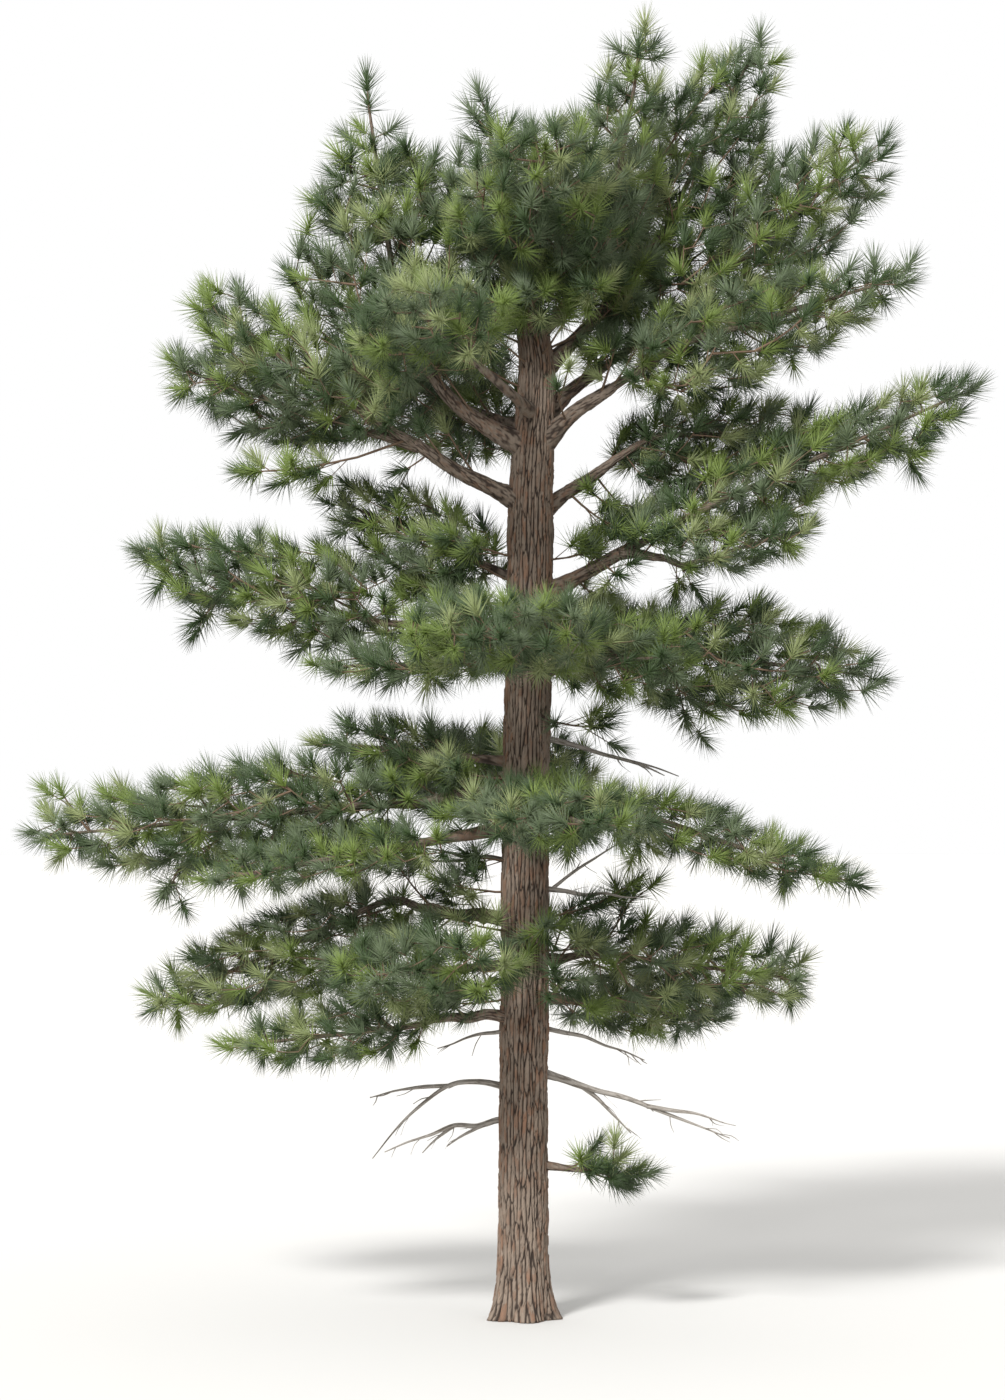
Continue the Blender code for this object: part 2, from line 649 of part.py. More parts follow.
def make_dead_limb(dead, trunk_cutter, plant, dead_wood):
    """A bare dead limb with its forks fused on, cut clear of the trunk."""
    run = (dead.azimuth, dead.reach, dead.rise)
    path = limb_path(dead.name, trunk_at(dead.at)[0], run, (0.0, dead.bow_up), BOUGH_STEPS)
    limb = tube(dead.name, path, tapered(dead.thick, DEAD_TIP, len(path)), STEM_ROUNDING, plant)
    forks = []
    for share, turn, reach, rise in dead.forks:
        fork_name = dead.name + str(turn)
        run = (dead.azimuth + turn, reach, rise)
        fork = limb_path(fork_name, point_along(path, share), run, (0.0, DEAD_FORK_BOW), FORK_STEPS)
        radii = tapered(dead.thick * DEAD_FORK_SHARE, DEAD_FORK_TIP, len(fork))
        forks.append(shape_of(tube(fork_name, fork, radii, STEM_ROUNDING, plant)))
    if forks:
        fuse(limb, forks)
    cut_clear(limb, trunk_cutter)
    finish(limb, dead_wood)


def lay_out_mass(mass, paths):
    """The space of a mass, and the points and radii of its stem."""
    far = heading_of(mass.azimuth) * mass.out + Vector((0, 0, mass.high))
    if mass.on == "trunk":
        middle, radius = trunk_at(mass.at)
        begin = middle + (far - middle).normalized() * (radius + mass.bare)
        first = [middle, begin]
        thick = STEM_THICK + STEM_THICK_PER_METRE * (far - begin).length
    elif mass.on == "trunk_tip":
        top, thick = trunk_at(TRUNK_STATIONS[-1].height)
        begin = top + Vector((0, 0, mass.bare))
        first = [top + Vector((0, 0, GAP)), top + Vector((0, 0, STEM_LEAD))]
    else:
        bare, past = paths[mass.on]
        begin = bare[-1]
        aim = (bare[-1] - bare[-2]).normalized()
        first = [begin + aim * GAP, begin + aim * STEM_LEAD] + past[1:2]
        thick = next(bough.thin for bough in BOUGHS if bough.name == mass.on)
    space = Space(begin, far, mass.width, mass.depth, mass.taper)
    tip = far - space.along * (NEEDLE_REACH + CORE_LENGTH)
    points = first + [first[-1].lerp(tip, (step + 1) / STEM_STEPS) for step in range(STEM_STEPS)]
    return space, points, tapered(thick, STEM_THIN, len(points))


def make_masses(paths, trunk_cutter, plant, needles):
    """Stems and their tips first, so that every mass keeps clear of them, then the sprays mass by mass."""
    layout = {mass.name: lay_out_mass(mass, paths) for mass in MASSES}
    stems = {}
    for mass in MASSES:
        _, points, radii = layout[mass.name]
        stems[mass.name] = tube(mass.name, points, radii, STEM_ROUNDING, plant)
        if mass.on == "trunk":
            cut_clear(stems[mass.name], trunk_cutter)
    crown = Crown({name: space for name, (space, _, _) in layout.items()}, plant.objects)
    draws = {name: random.Random(name) for name in stems}
    tips = {name: tip_spray(name, layout[name][1], crown, draws[name]) for name in stems}
    for name, stem in stems.items():
        sprays = twig_sprays(name, layout[name][1], crown, draws[name])
        fuse(stem, [spray for spray in [tips[name], *sprays] if spray])
        finish(stem, needles)


def main():
    clear_scene()
    plant = new_collection(PLANT_NAME)
    cutters = new_collection("cutters")
    bark = plain_material("bark", (0.23, 0.16, 0.12), 0.92)
    dead_wood = plain_material("dead_wood", (0.42, 0.39, 0.36), 0.9)
    needles = plain_material("needles", (0.13, 0.20, 0.09), 0.7)

    trunk = make_trunk(plant)
    finish(trunk, bark, smooth=True)
    cutter_of = {"trunk": grown_copy(trunk, cutters)}
    paths = make_boughs(cutter_of, plant, cutters, bark)
    for dead in DEAD_LIMBS:
        make_dead_limb(dead, cutter_of["trunk"], plant, dead_wood)
    make_masses(paths, cutter_of["trunk"], plant, needles)


main()
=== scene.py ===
"""The looks of a wild torrey pine: furrowed bark, weathered dead limbs, fine twigs and tufts of long needles.

Metres, +Z up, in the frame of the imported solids. The trunk, the boughs and the spaces of the masses are laid
out by the same named sizes and rules as in the solids, and carried on to finer twigs within the same spaces.
"""

import math
import random
from collections import namedtuple

import bmesh
import bpy
import numpy as np
from mathutils import Matrix, Vector, noise
from mathutils.kdtree import KDTree


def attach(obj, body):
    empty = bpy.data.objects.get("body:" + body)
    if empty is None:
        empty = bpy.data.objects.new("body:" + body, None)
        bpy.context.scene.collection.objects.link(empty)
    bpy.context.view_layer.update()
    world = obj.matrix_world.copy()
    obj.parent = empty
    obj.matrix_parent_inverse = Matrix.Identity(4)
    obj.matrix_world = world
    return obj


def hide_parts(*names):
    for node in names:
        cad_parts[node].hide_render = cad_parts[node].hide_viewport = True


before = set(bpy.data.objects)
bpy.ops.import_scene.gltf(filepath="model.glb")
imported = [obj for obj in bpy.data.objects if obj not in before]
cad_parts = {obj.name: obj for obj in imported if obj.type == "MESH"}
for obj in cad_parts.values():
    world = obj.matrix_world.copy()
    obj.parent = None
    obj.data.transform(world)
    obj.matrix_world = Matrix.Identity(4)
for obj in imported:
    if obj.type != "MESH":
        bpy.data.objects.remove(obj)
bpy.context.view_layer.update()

# Trunk: height, sideways lean, lean to the back and radius, from the ground to the tip
Station = namedtuple("Station", "height lean depth radius")
TRUNK_STATIONS = (
    Station(0.0, 0.000, 0.00, 0.245),
    Station(1.0, 0.000, 0.00, 0.222),
    Station(4.1, 0.020, 0.03, 0.212),
    Station(7.4, 0.070, 0.00, 0.205),
    Station(8.7, 0.130, -0.04, 0.165),
    Station(9.5, 0.020, -0.03, 0.105),
    Station(10.3, -0.230, 0.02, 0.050),
)
FLARE_OUT = 0.125
FLARE_HEIGHT = 0.17
FLARE_TOES = 5
TOE_SHARE = 0.38
TOE_TURN = 0.55
TRUNK_STEP = 0.25

# Limbs: name, what carries it, where (metres up the trunk, or a share of its bough), azimuth, reach and rise,
# how far its middle bows out and up, the radii at root and tip, and the share that is bare
BOUGH_STEPS = 6
FORK_STEPS = 3
STEM_STEPS = 3
WANDER = 0.018
STEP_SLACK = 0.1
Bough = namedtuple("Bough", "name on at azimuth reach rise bow_out bow_up thick thin bare")
BOUGHS = (
    Bough("bough_left_lowest", "trunk", 3.68, 165, 1.32, 0.14, 0.0, -0.03, 0.070, 0.045, 0.70),
    Bough("bough_left_low_front", "trunk", 2.76, 197, 1.05, -0.05, 0.0, 0.05, 0.058, 0.036, 0.75),
    Bough("bough_right_lowest", "trunk", 3.26, 14, 1.05, 0.06, 0.0, 0.03, 0.062, 0.042, 0.36),
    Bough("bough_left_second", "trunk", 4.88, 189, 1.85, -0.18, 0.0, -0.04, 0.078, 0.048, 0.52),
    Bough("bough_right_second", "trunk", 4.92, -11, 1.35, -0.36, 0.0, 0.03, 0.066, 0.042, 0.55),
    Bough("bough_left_third", "trunk", 6.35, 171, 1.80, 0.12, 0.0, -0.05, 0.068, 0.042, 0.55),
    Bough("bough_right_third", "trunk", 5.88, 12, 1.62, 0.24, 0.0, 0.12, 0.066, 0.040, 0.50),
    Bough("bough_right_fourth", "trunk", 6.58, -8, 2.50, 1.22, 0.0, 0.06, 0.082, 0.044, 0.40),
    Bough("arm_right_fourth", "bough_right_fourth", 0.70, -24, 0.62, -0.12, 0.0, 0.02, 0.044, 0.030, 0.70),
    Bough("limb_right_fifth", "trunk", 7.32, 13, 1.80, 0.96, 0.0, 0.16, 0.078, 0.042, 0.42),
    Bough("limb_right_sixth", "trunk", 7.95, -16, 2.12, 1.20, 0.0, 0.20, 0.084, 0.044, 0.36),
    Bough("limb_right_seventh", "trunk", 8.24, 20, 2.08, 1.42, 0.0, 0.10, 0.084, 0.044, 0.32),
    Bough("leader_right_inner", "trunk", 9.00, -28, 0.98, 1.42, 0.10, -0.12, 0.062, 0.038, 0.32),
    Bough("leader_right_outer", "trunk", 8.66, 32, 1.95, 1.98, 0.05, -0.02, 0.074, 0.040, 0.36),
    Bough("leader_left", "trunk", 8.00, 187, 1.50, 1.80, 0.24, -0.22, 0.096, 0.050, 0.46),
    Bough("bough_crown_left", "trunk", 7.46, 193, 2.05, 1.18, 0.0, -0.08, 0.086, 0.042, 0.58),
    Bough("arm_crown_left", "bough_crown_left", 0.80, 166, 1.00, 0.30, 0.0, -0.02, 0.044, 0.032, 0.50),
)

# Dead limbs: height on the trunk, azimuth, reach and rise, how far the middle bows up, the radius at the
# root, and forks given as the share of the limb where each springs, its turn in degrees, reach and rise
Dead = namedtuple("Dead", "name at azimuth reach rise bow_up thick forks")
LEFT_LIMB_FORKS = ((0.25, 18, 0.42, -0.2), (0.5, -20, 0.3, -0.26))
RIGHT_LIMB_FORKS = ((0.28, 10, 0.46, -0.44), (0.6, -14, 0.72, -0.12))
DEAD_LIMBS = (
    Dead("dead_limb_left_first", 1.80, 186, 1.28, -0.26, 0.09, 0.034, LEFT_LIMB_FORKS),
    Dead("dead_limb_left_second", 2.06, 170, 1.42, -0.62, 0.36, 0.036, ((0.5, -14, 0.80, -0.14),)),
    Dead("dead_limb_left_third", 2.68, 182, 0.80, -0.20, 0.02, 0.026, ()),
    Dead("dead_limb_left_fourth", 4.22, 176, 1.08, -0.04, 0.03, 0.028, ((0.45, 12, 0.52, 0.10),)),
    Dead("dead_limb_right_first", 2.30, -8, 1.90, -0.62, 0.01, 0.040, RIGHT_LIMB_FORKS),
    Dead("dead_limb_right_second", 2.69, 12, 1.14, -0.34, 0.05, 0.028, ()),
    Dead("dead_limb_right_third", 3.98, -5, 1.10, -0.10, -0.02, 0.030, ((0.22, 16, 0.66, 0.44),)),
    Dead("dead_limb_right_fourth", 5.34, 8, 1.42, -0.36, 0.04, 0.032, ((0.55, -14, 0.50, -0.18),)),
)
DEAD_FORK_SHARE = 0.6
DEAD_FORK_BOW = 0.02

# Masses of needles: azimuth about the trunk, distance out and height of the far tip of each space, half its
# width and depth, for those on the trunk the height there and the bare length of their stem, and the share of
# its width and depth that the space loses by its tip
SPACE_TAPER = 0.35
Mass = namedtuple("Mass", "name on azimuth out high width depth at bare taper", defaults=(0, 0, SPACE_TAPER))
MASSES = (
    Mass("needles_left_lowest", "bough_left_lowest", 168, 3.74, 2.76, 1.15, 0.68),
    Mass("needles_left_low_front", "bough_left_low_front", 198, 2.98, 2.54, 0.92, 0.48),
    Mass("needles_right_lowest", "bough_right_lowest", 6, 2.86, 3.08, 1.12, 0.64),
    Mass("needles_left_second", "bough_left_second", 184, 4.66, 4.42, 1.20, 0.76),
    Mass("needles_right_second", "bough_right_second", -6, 3.22, 3.92, 1.05, 0.44),
    Mass("needles_left_third", "bough_left_third", 175, 3.74, 7.08, 1.08, 0.72),
    Mass("needles_right_third", "bough_right_third", 5, 3.46, 5.90, 1.12, 0.76),
    Mass("needles_right_fourth", "bough_right_fourth", -3, 4.30, 8.62, 1.02, 0.60),
    Mass("needles_right_under", "arm_right_fourth", -16, 2.88, 7.26, 0.88, 0.44),
    Mass("needles_right_fifth", "limb_right_fifth", 14, 3.05, 8.26, 1.08, 0.64),
    Mass("needles_right_sixth", "limb_right_sixth", -10, 3.80, 9.64, 1.15, 0.74, taper=0.50),
    Mass("needles_right_seventh", "limb_right_seventh", 12, 3.56, 11.02, 1.15, 0.92),
    Mass("needles_leader_right_inner", "leader_right_inner", -22, 1.27, 11.98, 0.95, 0.80, taper=0.55),
    Mass("needles_leader_right_outer", "leader_right_outer", 16, 2.40, 11.98, 1.00, 0.84),
    Mass("needles_leader_left", "leader_left", 186, 1.52, 11.54, 1.30, 2.02, taper=0.96),
    Mass("needles_crown_left", "bough_crown_left", 188, 3.14, 9.44, 1.05, 0.70),
    Mass("needles_crown_left_low", "arm_crown_left", 174, 3.44, 8.84, 0.98, 0.60),
    Mass("needles_trunk_tip", "trunk_tip", 160, 0.38, 11.50, 0.80, 0.74, bare=-0.45, taper=0.70),
    Mass("needles_left_second_inner", "trunk", 167, 2.15, 5.32, 0.80, 0.48, at=5.10, bare=0.20),
    Mass("needles_left_second_low", "trunk", 216, 3.60, 4.08, 0.92, 0.38, at=4.54, bare=0.60),
    Mass("needles_left_third_low", "trunk", 203, 2.20, 5.98, 0.98, 0.40, at=6.04, bare=0.20),
    Mass("needles_left_third_high", "trunk", 158, 2.12, 7.66, 0.90, 0.66, at=6.74, bare=0.00),
    Mass("needles_right_third_inner", "trunk", -33, 1.95, 6.08, 0.80, 0.60, at=6.02, bare=0.15),
    Mass("needles_front_lowest", "trunk", 236, 2.85, 3.28, 1.02, 0.58, at=3.26, bare=0.50),
    Mass("needles_back_lowest", "trunk", 44, 2.75, 2.58, 1.00, 0.44, at=2.98, bare=0.30),
    Mass("needles_front_second", "trunk", 281, 3.20, 4.60, 1.15, 0.50, at=4.74, bare=0.35),
    Mass("needles_back_second", "trunk", 101, 3.60, 5.00, 1.35, 0.64, at=4.96, bare=0.40),
    Mass("needles_front_third", "trunk", 262, 3.25, 6.26, 1.20, 0.60, at=6.24, bare=0.35),
    Mass("needles_back_third", "trunk", 74, 3.60, 6.28, 1.35, 0.62, at=6.24, bare=0.40),
    Mass("needles_front_fourth", "trunk", 250, 3.20, 9.15, 1.22, 0.76, at=8.30, bare=0.35),
    Mass("needles_back_fourth", "trunk", 118, 3.45, 8.98, 1.30, 0.80, at=8.14, bare=0.35),
    Mass("needles_front_fifth", "trunk", 276, 2.10, 10.74, 1.02, 0.86, at=9.50, bare=0.20),
    Mass("needles_back_fifth", "trunk", 66, 2.75, 10.60, 1.25, 0.88, at=9.28, bare=0.20),
    Mass("needles_low_tuft_right", "trunk", -6, 1.30, 1.28, 0.42, 0.30, at=1.43, bare=0.14),
)
SPACE_SQUARENESS = 2.3
STEM_THICK = 0.030
STEM_THICK_PER_METRE = 0.010
STEM_LEAD = 0.10
STEM_TIP = 0.012
STEM_SHORT_OF_TIP = 0.42

# Bark: how wide a ridge is, how many times longer than wide, how deep the furrows between ridges are, how
# deep the cracks across them, and how much the whole swells and sinks
Bark = namedtuple("Bark", "ridge stretch depth crack lump")
TRUNK_BARK = Bark(0.044, 9.0, 0.022, 0.008, 0.010)
BOUGH_BARK = Bark(0.028, 6.0, 0.008, 0.003, 0.005)
STEM_BARK = Bark(0.022, 5.0, 0.003, 0.001, 0.002)
DEAD_BARK = Bark(0.019, 18.0, 0.0025, 0.000, 0.004)
RIDGE_JITTER = 0.42
END_STRETCH = 4.0
FURROW_FROM, FURROW_TO = 0.05, 0.24
CRACK_FROM, CRACK_TO = 0.02, 0.12
CRACK_WIDTH = 0.80
CRACK_STRETCH = 2.6
BROAD_WARP, BROAD_SCALE = 0.45, 0.40
RAGGED_WARP, RAGGED_SCALE = 0.16, 2.6
RIDGE_SET_BACK = 0.6
RIDGE_STEP = 0.30
GRAIN, GRAIN_SCALE = 0.16, 2.5
LUMP_LENGTH = 0.35
# How much the cracks across the ridges darken the bark's colour: painted shade in the cracks
CRACK_SHADE = 0.7
SEED_SPAN = 50
SEED_SKEW = 1.7
RIDGE_STRIDE, SCALE_STRIDE = 1.37, 0.61
TRUNK_SIDES, TRUNK_RING = 190, 0.0255
BOUGH_SIDES, BOUGH_RING = 34, 0.030
DEAD_SIDES, DEAD_RING = 18, 0.030
STEM_SIDES, STEM_RING = 12, 0.060
THIN_FADE = 2
SEAM_AT = 0.999
WELD = 1e-6
UPRIGHT = 0.9
NEIGHBOURS = 4
LEAST_COLUMNS, LEAST_ROWS = 3, 2
NOISE_SEED = 11
COLLAR_SWELL = 0.55
COLLAR_LENGTH = 0.10

# Short living shoots, in runs of one mass on one carrier, which is the trunk, a bare bough or the mass's own
# stem: for each shoot where it springs, azimuth, reach and rise, and how many tufts it bears
Shoot = namedtuple("Shoot", "at azimuth reach rise tufts")
SHOOTS = (
    ("needles_left_lowest", "trunk", (3.30, 178, 0.90, -0.10, 7), (3.92, 196, 0.86, 0.12, 7)),
    ("needles_left_lowest", "bough_left_lowest", (0.40, 130, 0.30, 0.26, 5), (0.60, 215, 0.34, -0.18, 5),
     (0.80, 150, 0.34, 0.34, 6)),
    ("needles_left_low_front", "trunk", (2.98, 202, 0.80, -0.06, 7)),
    ("needles_left_low_front", "bough_left_low_front", (0.60, 230, 0.30, 0.18, 5)),
    ("needles_right_lowest", "trunk", (3.66, 2, 0.78, 0.20, 7), (3.40, -44, 0.80, 0.06, 7)),
    ("needles_right_lowest", "bough_right_lowest", (0.45, 60, 0.24, 0.30, 4), (0.60, -50, 0.26, 0.24, 4)),
    ("needles_right_lowest", "stem", (0.40, 10, 0.34, 0.54, 6)),
    ("needles_left_second", "bough_left_second", (0.35, 215, 0.36, 0.24, 6), (0.62, 160, 0.40, 0.26, 6),
     (0.86, 228, 0.42, 0.10, 6)),
    ("needles_left_second", "stem", (0.94, 180, 0.26, 0.36, 3), (0.72, 200, 0.28, -0.60, 6)),
    ("needles_right_second", "trunk", (4.40, -30, 0.60, 0.06, 4)),
    ("needles_right_second", "stem", (0.30, -20, 0.06, -0.32, 4)),
    ("needles_right_second", "trunk", (4.66, -12, 0.44, -0.14, 5)),
    ("needles_left_third", "bough_left_third", (0.35, 215, 0.34, 0.30, 6), (0.60, 140, 0.36, 0.30, 6)),
    ("needles_left_third", "stem", (0.80, 190, 0.30, -0.36, 4)),
    ("needles_right_third", "bough_right_third", (0.45, -40, 0.40, 0.30, 6)),
    ("needles_right_third", "stem", (0.55, -10, 0.34, 0.44, 5), (0.40, -20, 0.14, -0.60, 5)),
    ("needles_right_fourth", "bough_right_fourth", (0.35, 40, 0.20, -0.16, 3), (0.62, -40, 0.34, 0.30, 5),
     (0.85, 50, 0.30, 0.36, 5), (0.30, -20, 0.42, 0.42, 7)),
    ("needles_right_fourth", "stem", (0.78, -20, 0.48, -0.14, 5)),
    ("needles_right_under", "bough_right_fourth", (0.55, -60, 0.24, -0.12, 3)),
    ("needles_right_under", "arm_right_fourth", (0.40, -70, 0.26, 0.12, 4), (0.75, 30, 0.28, -0.10, 4)),
    ("needles_right_fifth", "trunk", (6.98, -20, 0.58, 0.06, 5)),
    ("needles_right_fifth", "limb_right_fifth", (0.40, -30, 0.42, -0.30, 6), (0.70, 30, 0.36, -0.34, 6),
     (0.55, -40, 0.30, -0.20, 5), (0.80, 60, 0.30, 0.20, 5)),
    ("needles_right_sixth", "limb_right_sixth", (0.60, -70, 0.42, 0.46, 6), (0.90, -50, 0.40, 0.42, 7),
     (0.30, -96, 0.85, 0.24, 7)),
    ("needles_right_seventh", "limb_right_seventh", (0.55, -50, 0.44, 0.44, 6), (0.90, -30, 0.50, 0.40, 7),
     (0.30, -84, 1.00, 0.26, 8)),
    ("needles_leader_right_inner", "leader_right_inner", (0.60, -80, 0.50, 0.34, 7),
     (0.30, -100, 0.95, 0.20, 8), (0.80, -70, 0.90, 0.10, 8)),
    ("needles_leader_right_outer", "leader_right_outer", (0.40, -40, 0.60, 0.40, 7),
     (0.80, -60, 0.55, 0.36, 7)),
    ("needles_leader_left", "leader_left", (0.45, 215, 0.45, 0.50, 7), (0.80, 250, 0.45, 0.40, 7)),
    ("needles_leader_left", "stem", (0.88, 180, 0.10, 0.04, 2), (0.86, -10, 0.10, 0.04, 2),
     (0.82, 190, 0.26, 0.04, 3), (0.80, 10, 0.22, 0.06, 3), (0.77, 275, 0.20, 0.14, 4),
     (0.72, 175, 0.46, 0.08, 5), (0.70, -15, 0.40, 0.12, 5), (0.66, 255, 0.34, 0.20, 5),
     (0.60, 290, 0.36, 0.22, 5)),
    ("needles_crown_left", "bough_crown_left", (0.35, 160, 0.34, 0.50, 6), (0.55, 220, 0.34, 0.34, 5)),
    ("needles_crown_left_low", "bough_crown_left", (0.95, 200, 1.45, -0.32, 13),
     (0.70, 160, 0.26, -0.16, 3)),
    ("needles_left_second_inner", "trunk", (4.96, 186, 0.90, 0.14, 7)),
    ("needles_left_second_low", "trunk", (4.22, 200, 0.52, 0.04, 4), (4.72, 214, 0.86, -0.10, 7)),
    ("needles_left_third_high", "trunk", (6.70, 188, 0.92, 0.52, 8), (6.98, 206, 0.80, 0.22, 7),
     (6.55, 172, 1.00, 0.20, 7)),
    ("needles_right_third_inner", "trunk", (5.56, -24, 0.72, -0.12, 6)),
    ("needles_front_lowest", "trunk", (3.34, 262, 0.62, -0.04, 7), (3.58, 288, 0.60, 0.06, 6),
     (3.20, 312, 0.62, -0.06, 6), (3.56, 218, 0.80, 0.14, 7)),
    ("needles_back_lowest", "trunk", (3.06, -20, 0.62, -0.18, 6)),
    ("needles_front_fourth", "trunk", (8.50, 200, 0.85, 0.44, 8), (8.72, 228, 0.75, 0.40, 8),
     (8.80, 292, 0.78, 0.40, 8)),
    ("needles_back_fourth", "trunk", (8.90, 170, 0.85, 0.52, 8)),
    ("needles_front_fifth", "trunk", (9.00, 264, 0.70, 0.42, 8), (9.12, 318, 0.80, 0.46, 8),
     (9.36, 238, 0.70, 0.48, 8), (9.48, 286, 0.66, 0.50, 8), (9.76, 256, 0.56, 0.52, 7)),
    ("needles_back_fifth", "trunk", (8.86, 8, 0.85, 0.52, 8), (9.40, -12, 0.80, 0.56, 8)),
    ("needles_low_tuft_right", "stem", (0.34, 40, 0.24, 0.10, 3), (0.46, -50, 0.22, 0.02, 3),
     (0.60, 30, 0.24, -0.08, 3), (0.74, -36, 0.22, 0.12, 3), (0.90, 24, 0.22, 0.02, 3)),
)
SHOOT_BARE = 0.40
SHOOT_SPREAD = 0.15

# Rooms in front of the trunk's fork that stay open, because the trunk and its limbs show there: from and to
# sideways, and up to what height
FORK_BOTTOM = 7.30
FORK_ROOMS = ((-1.00, -0.25, 8.66), (-0.25, 0.50, 9.06))

# Fine dead twigs: how many a dead limb has for each metre, where along it, their length and how it fades
# towards the limb's tip, and how much they droop, stand aside and are crooked
DEAD_TWIGS_PER_METRE = 4.0
DEAD_TWIG_SHARES = (0.3, 0.97)
DEAD_TWIG_LENGTH = (0.10, 0.30)
DEAD_TWIG_FULL, DEAD_TWIG_FADE = 1.2, 0.5
DEAD_TWIG_DROOP = 0.3
DEAD_TWIG_ASIDE = 0.7
DEAD_TWIG_CROOK = 0.12
DEAD_TWIG_RADII = (0.0055, 0.0022)
DEAD_TWIG_SIDES, DEAD_TWIG_RING = 5, 0.05
DEAD_LIMB_END = 0.0045
LOOK_ALONG = 0.05

# Twigs: each order has its spacing, the margin that its tufts keep inside the space, and its twigs' radii
Order = namedtuple("Order", "spacing margin thick thin")
TWIG_ORDERS = (
    Order(0.46, 0.24, 0.013, 0.006),
    Order(0.215, 0.16, 0.007, 0.004),
)
DART_TRIES = 5000
LEAST_SPREAD = 0.08
LEAST_APART = 0.17
WOOD_STEP = 0.12
WOOD_DEPTH = 1.2
BACKWARD_COST = 1.6
SLANT_GAIN = 0.6
TRUNK_CLEARANCE = 0.16
FORKS_AT = (0.35, 0.55, 0.75)
TWIG_RINGS = 4
TWIG_SIDES = 4
TWIG_SWING = 0.30
TWIG_SAG = 0.10
UPTURN = 0.30
ODD_WAY = (0.31, 0.17, 0.93)

# Tufts: needles stand round the last stretch of a shoot, the low ones out and the top ones on
TUFT_KINDS = 9
TUFT_NEEDLES = 62
NEEDLE_LENGTH = 0.25
NEEDLE_RADIUS = 0.0052
NEEDLE_SIDES = 3
SHOOT_LENGTH = 0.12
TOP_TILT = math.radians(8)
LOW_TILTS = (math.radians(62), math.radians(80), math.radians(98))
TILT_JITTER = 0.14
NEEDLE_TURN = math.radians(137.5)
TURN_JITTER = 0.3
NEEDLE_LENGTHS = (0.82, 1.05)
TUFT_SIZES = (0.86, 1.08)
TUFT_SUNK = 0.5

# Tints of the needles, dealt out tuft by tuft: the share of the tufts, and the colours that it drifts between
Tint = namedtuple("Tint", "name share dark light")
NEEDLE_TINTS = (
    Tint("needles_deep", 0.30, (0.026, 0.050, 0.015), (0.052, 0.090, 0.024)),
    Tint("needles_grey", 0.29, (0.066, 0.098, 0.046), (0.115, 0.150, 0.072)),
    Tint("needles_fresh", 0.26, (0.100, 0.150, 0.026), (0.165, 0.225, 0.045)),
    Tint("needles_pale", 0.15, (0.165, 0.205, 0.075), (0.245, 0.280, 0.115)),
)

# Bark's colours: grey ridges, red brown ones, a near black that paints shade into the furrows between, and how
# fine the flakes are
BarkColours = namedtuple("BarkColours", "grey red furrow grain")
TRUNK_COLOURS = BarkColours((0.230, 0.176, 0.134), (0.205, 0.112, 0.068), (0.026, 0.017, 0.012), 26.0)
BOUGH_COLOURS = BarkColours((0.210, 0.165, 0.128), (0.185, 0.108, 0.070), (0.040, 0.027, 0.020), 40.0)
PATCH_GAIN, TINT_GAIN, PATCH_DROP = 0.9, 0.35, 0.12
FLAKE_SHARE, FLAKE_SHADE = 0.55, 0.45
FLAKE_SHAPE, ROUGH_SHAPE = (1.0, 1.0, 0.22), (1.0, 1.0, 0.3)
ROUGH_GRAIN = 1.8
NOISE_ROUGHNESS = 0.6
BLACK_TO_WHITE = ((0, 0, 0), (1, 1, 1))

# Colours of weathered wood, dark and light, and the painted shade in its cracks, and of the young bark of
# twigs, dark and light
DEAD_DARK, DEAD_LIGHT, DEAD_CRACK_SHADE = (0.20, 0.175, 0.15), (0.40, 0.37, 0.335), (0.13, 0.11, 0.09)
TWIG_DARK, TWIG_LIGHT = (0.085, 0.055, 0.035), (0.21, 0.135, 0.085)

# Sockets of shader nodes that are known by number
OBJECT_SPACE, FACTOR = 3, 2
MIX_FIRST, MIX_SECOND, MIX_COLOUR = 6, 7, 2

# Pieces of needles, with the words that tell which masses belong to each: the first piece that fits counts
NEEDLE_PIECES = {
    "needle_tufts_lowest": ("lowest", "low_front", "low_tuft"),
    "needle_tufts_second": ("second",),
    "needle_tufts_third": ("third",),
    "needle_tufts_crown_left": ("crown_left", "leader_left", "front_fourth"),
    "needle_tufts_crown_right": ("right_fourth", "right_under", "right_fifth", "right_sixth"),
    "needle_tufts_crown_top": ("leader_right", "right_seventh", "trunk_tip"),
    "needle_tufts_crown_inside": ("back_fourth", "front_fifth", "back_fifth"),
}

# Camera and light
METRES_PER_PIXEL = 0.0092
FRAME_PIXELS = (1005, 1400)
TRUNK_PIXEL = 523
GROUND_PIXEL = 1318
CAMERA_DISTANCE = 40.0
SENSOR = 36.0
VIEW_END = 500.0
FLOOR_RADIUS = 120.0
FLOOR_SEGMENTS = 96
FLOOR_DROP = 0.002
FLOOR_COLOUR = (0.62, 0.61, 0.59, 1.0)
SUN_STRENGTH = 3.8
SUN_WIDTH = math.radians(12)
SUN_TILT = math.radians(52)
SUN_TURN = math.radians(-26)
WHITE = (1.0, 1.0, 1.0, 1.0)


def heading_of(azimuth):
    """Level unit vector at an azimuth in degrees."""
    turn = math.radians(azimuth)
    return Vector((math.cos(turn), math.sin(turn), 0.0))


def strayed(draw, reach):
    """A seeded offset of up to a reach each way."""
    return Vector([draw.uniform(-reach, reach) for _ in range(3)])


def mixed(low, high, share):
    """The value at a share of the way from one to the other."""
    return low + (high - low) * share


def eased(value, low, high):
    """0 below the low value, 1 above the high one, and a smooth rise between."""
    share = min(max((value - low) / (high - low), 0.0), 1.0)
    return share * share * (3 - 2 * share)


def on_curve(start, bend, end, share):
    """The point at a share of a line that starts towards its bend and turns to its end."""
    return start * (1 - share) ** 2 + bend * 2 * share * (1 - share) + end * share**2


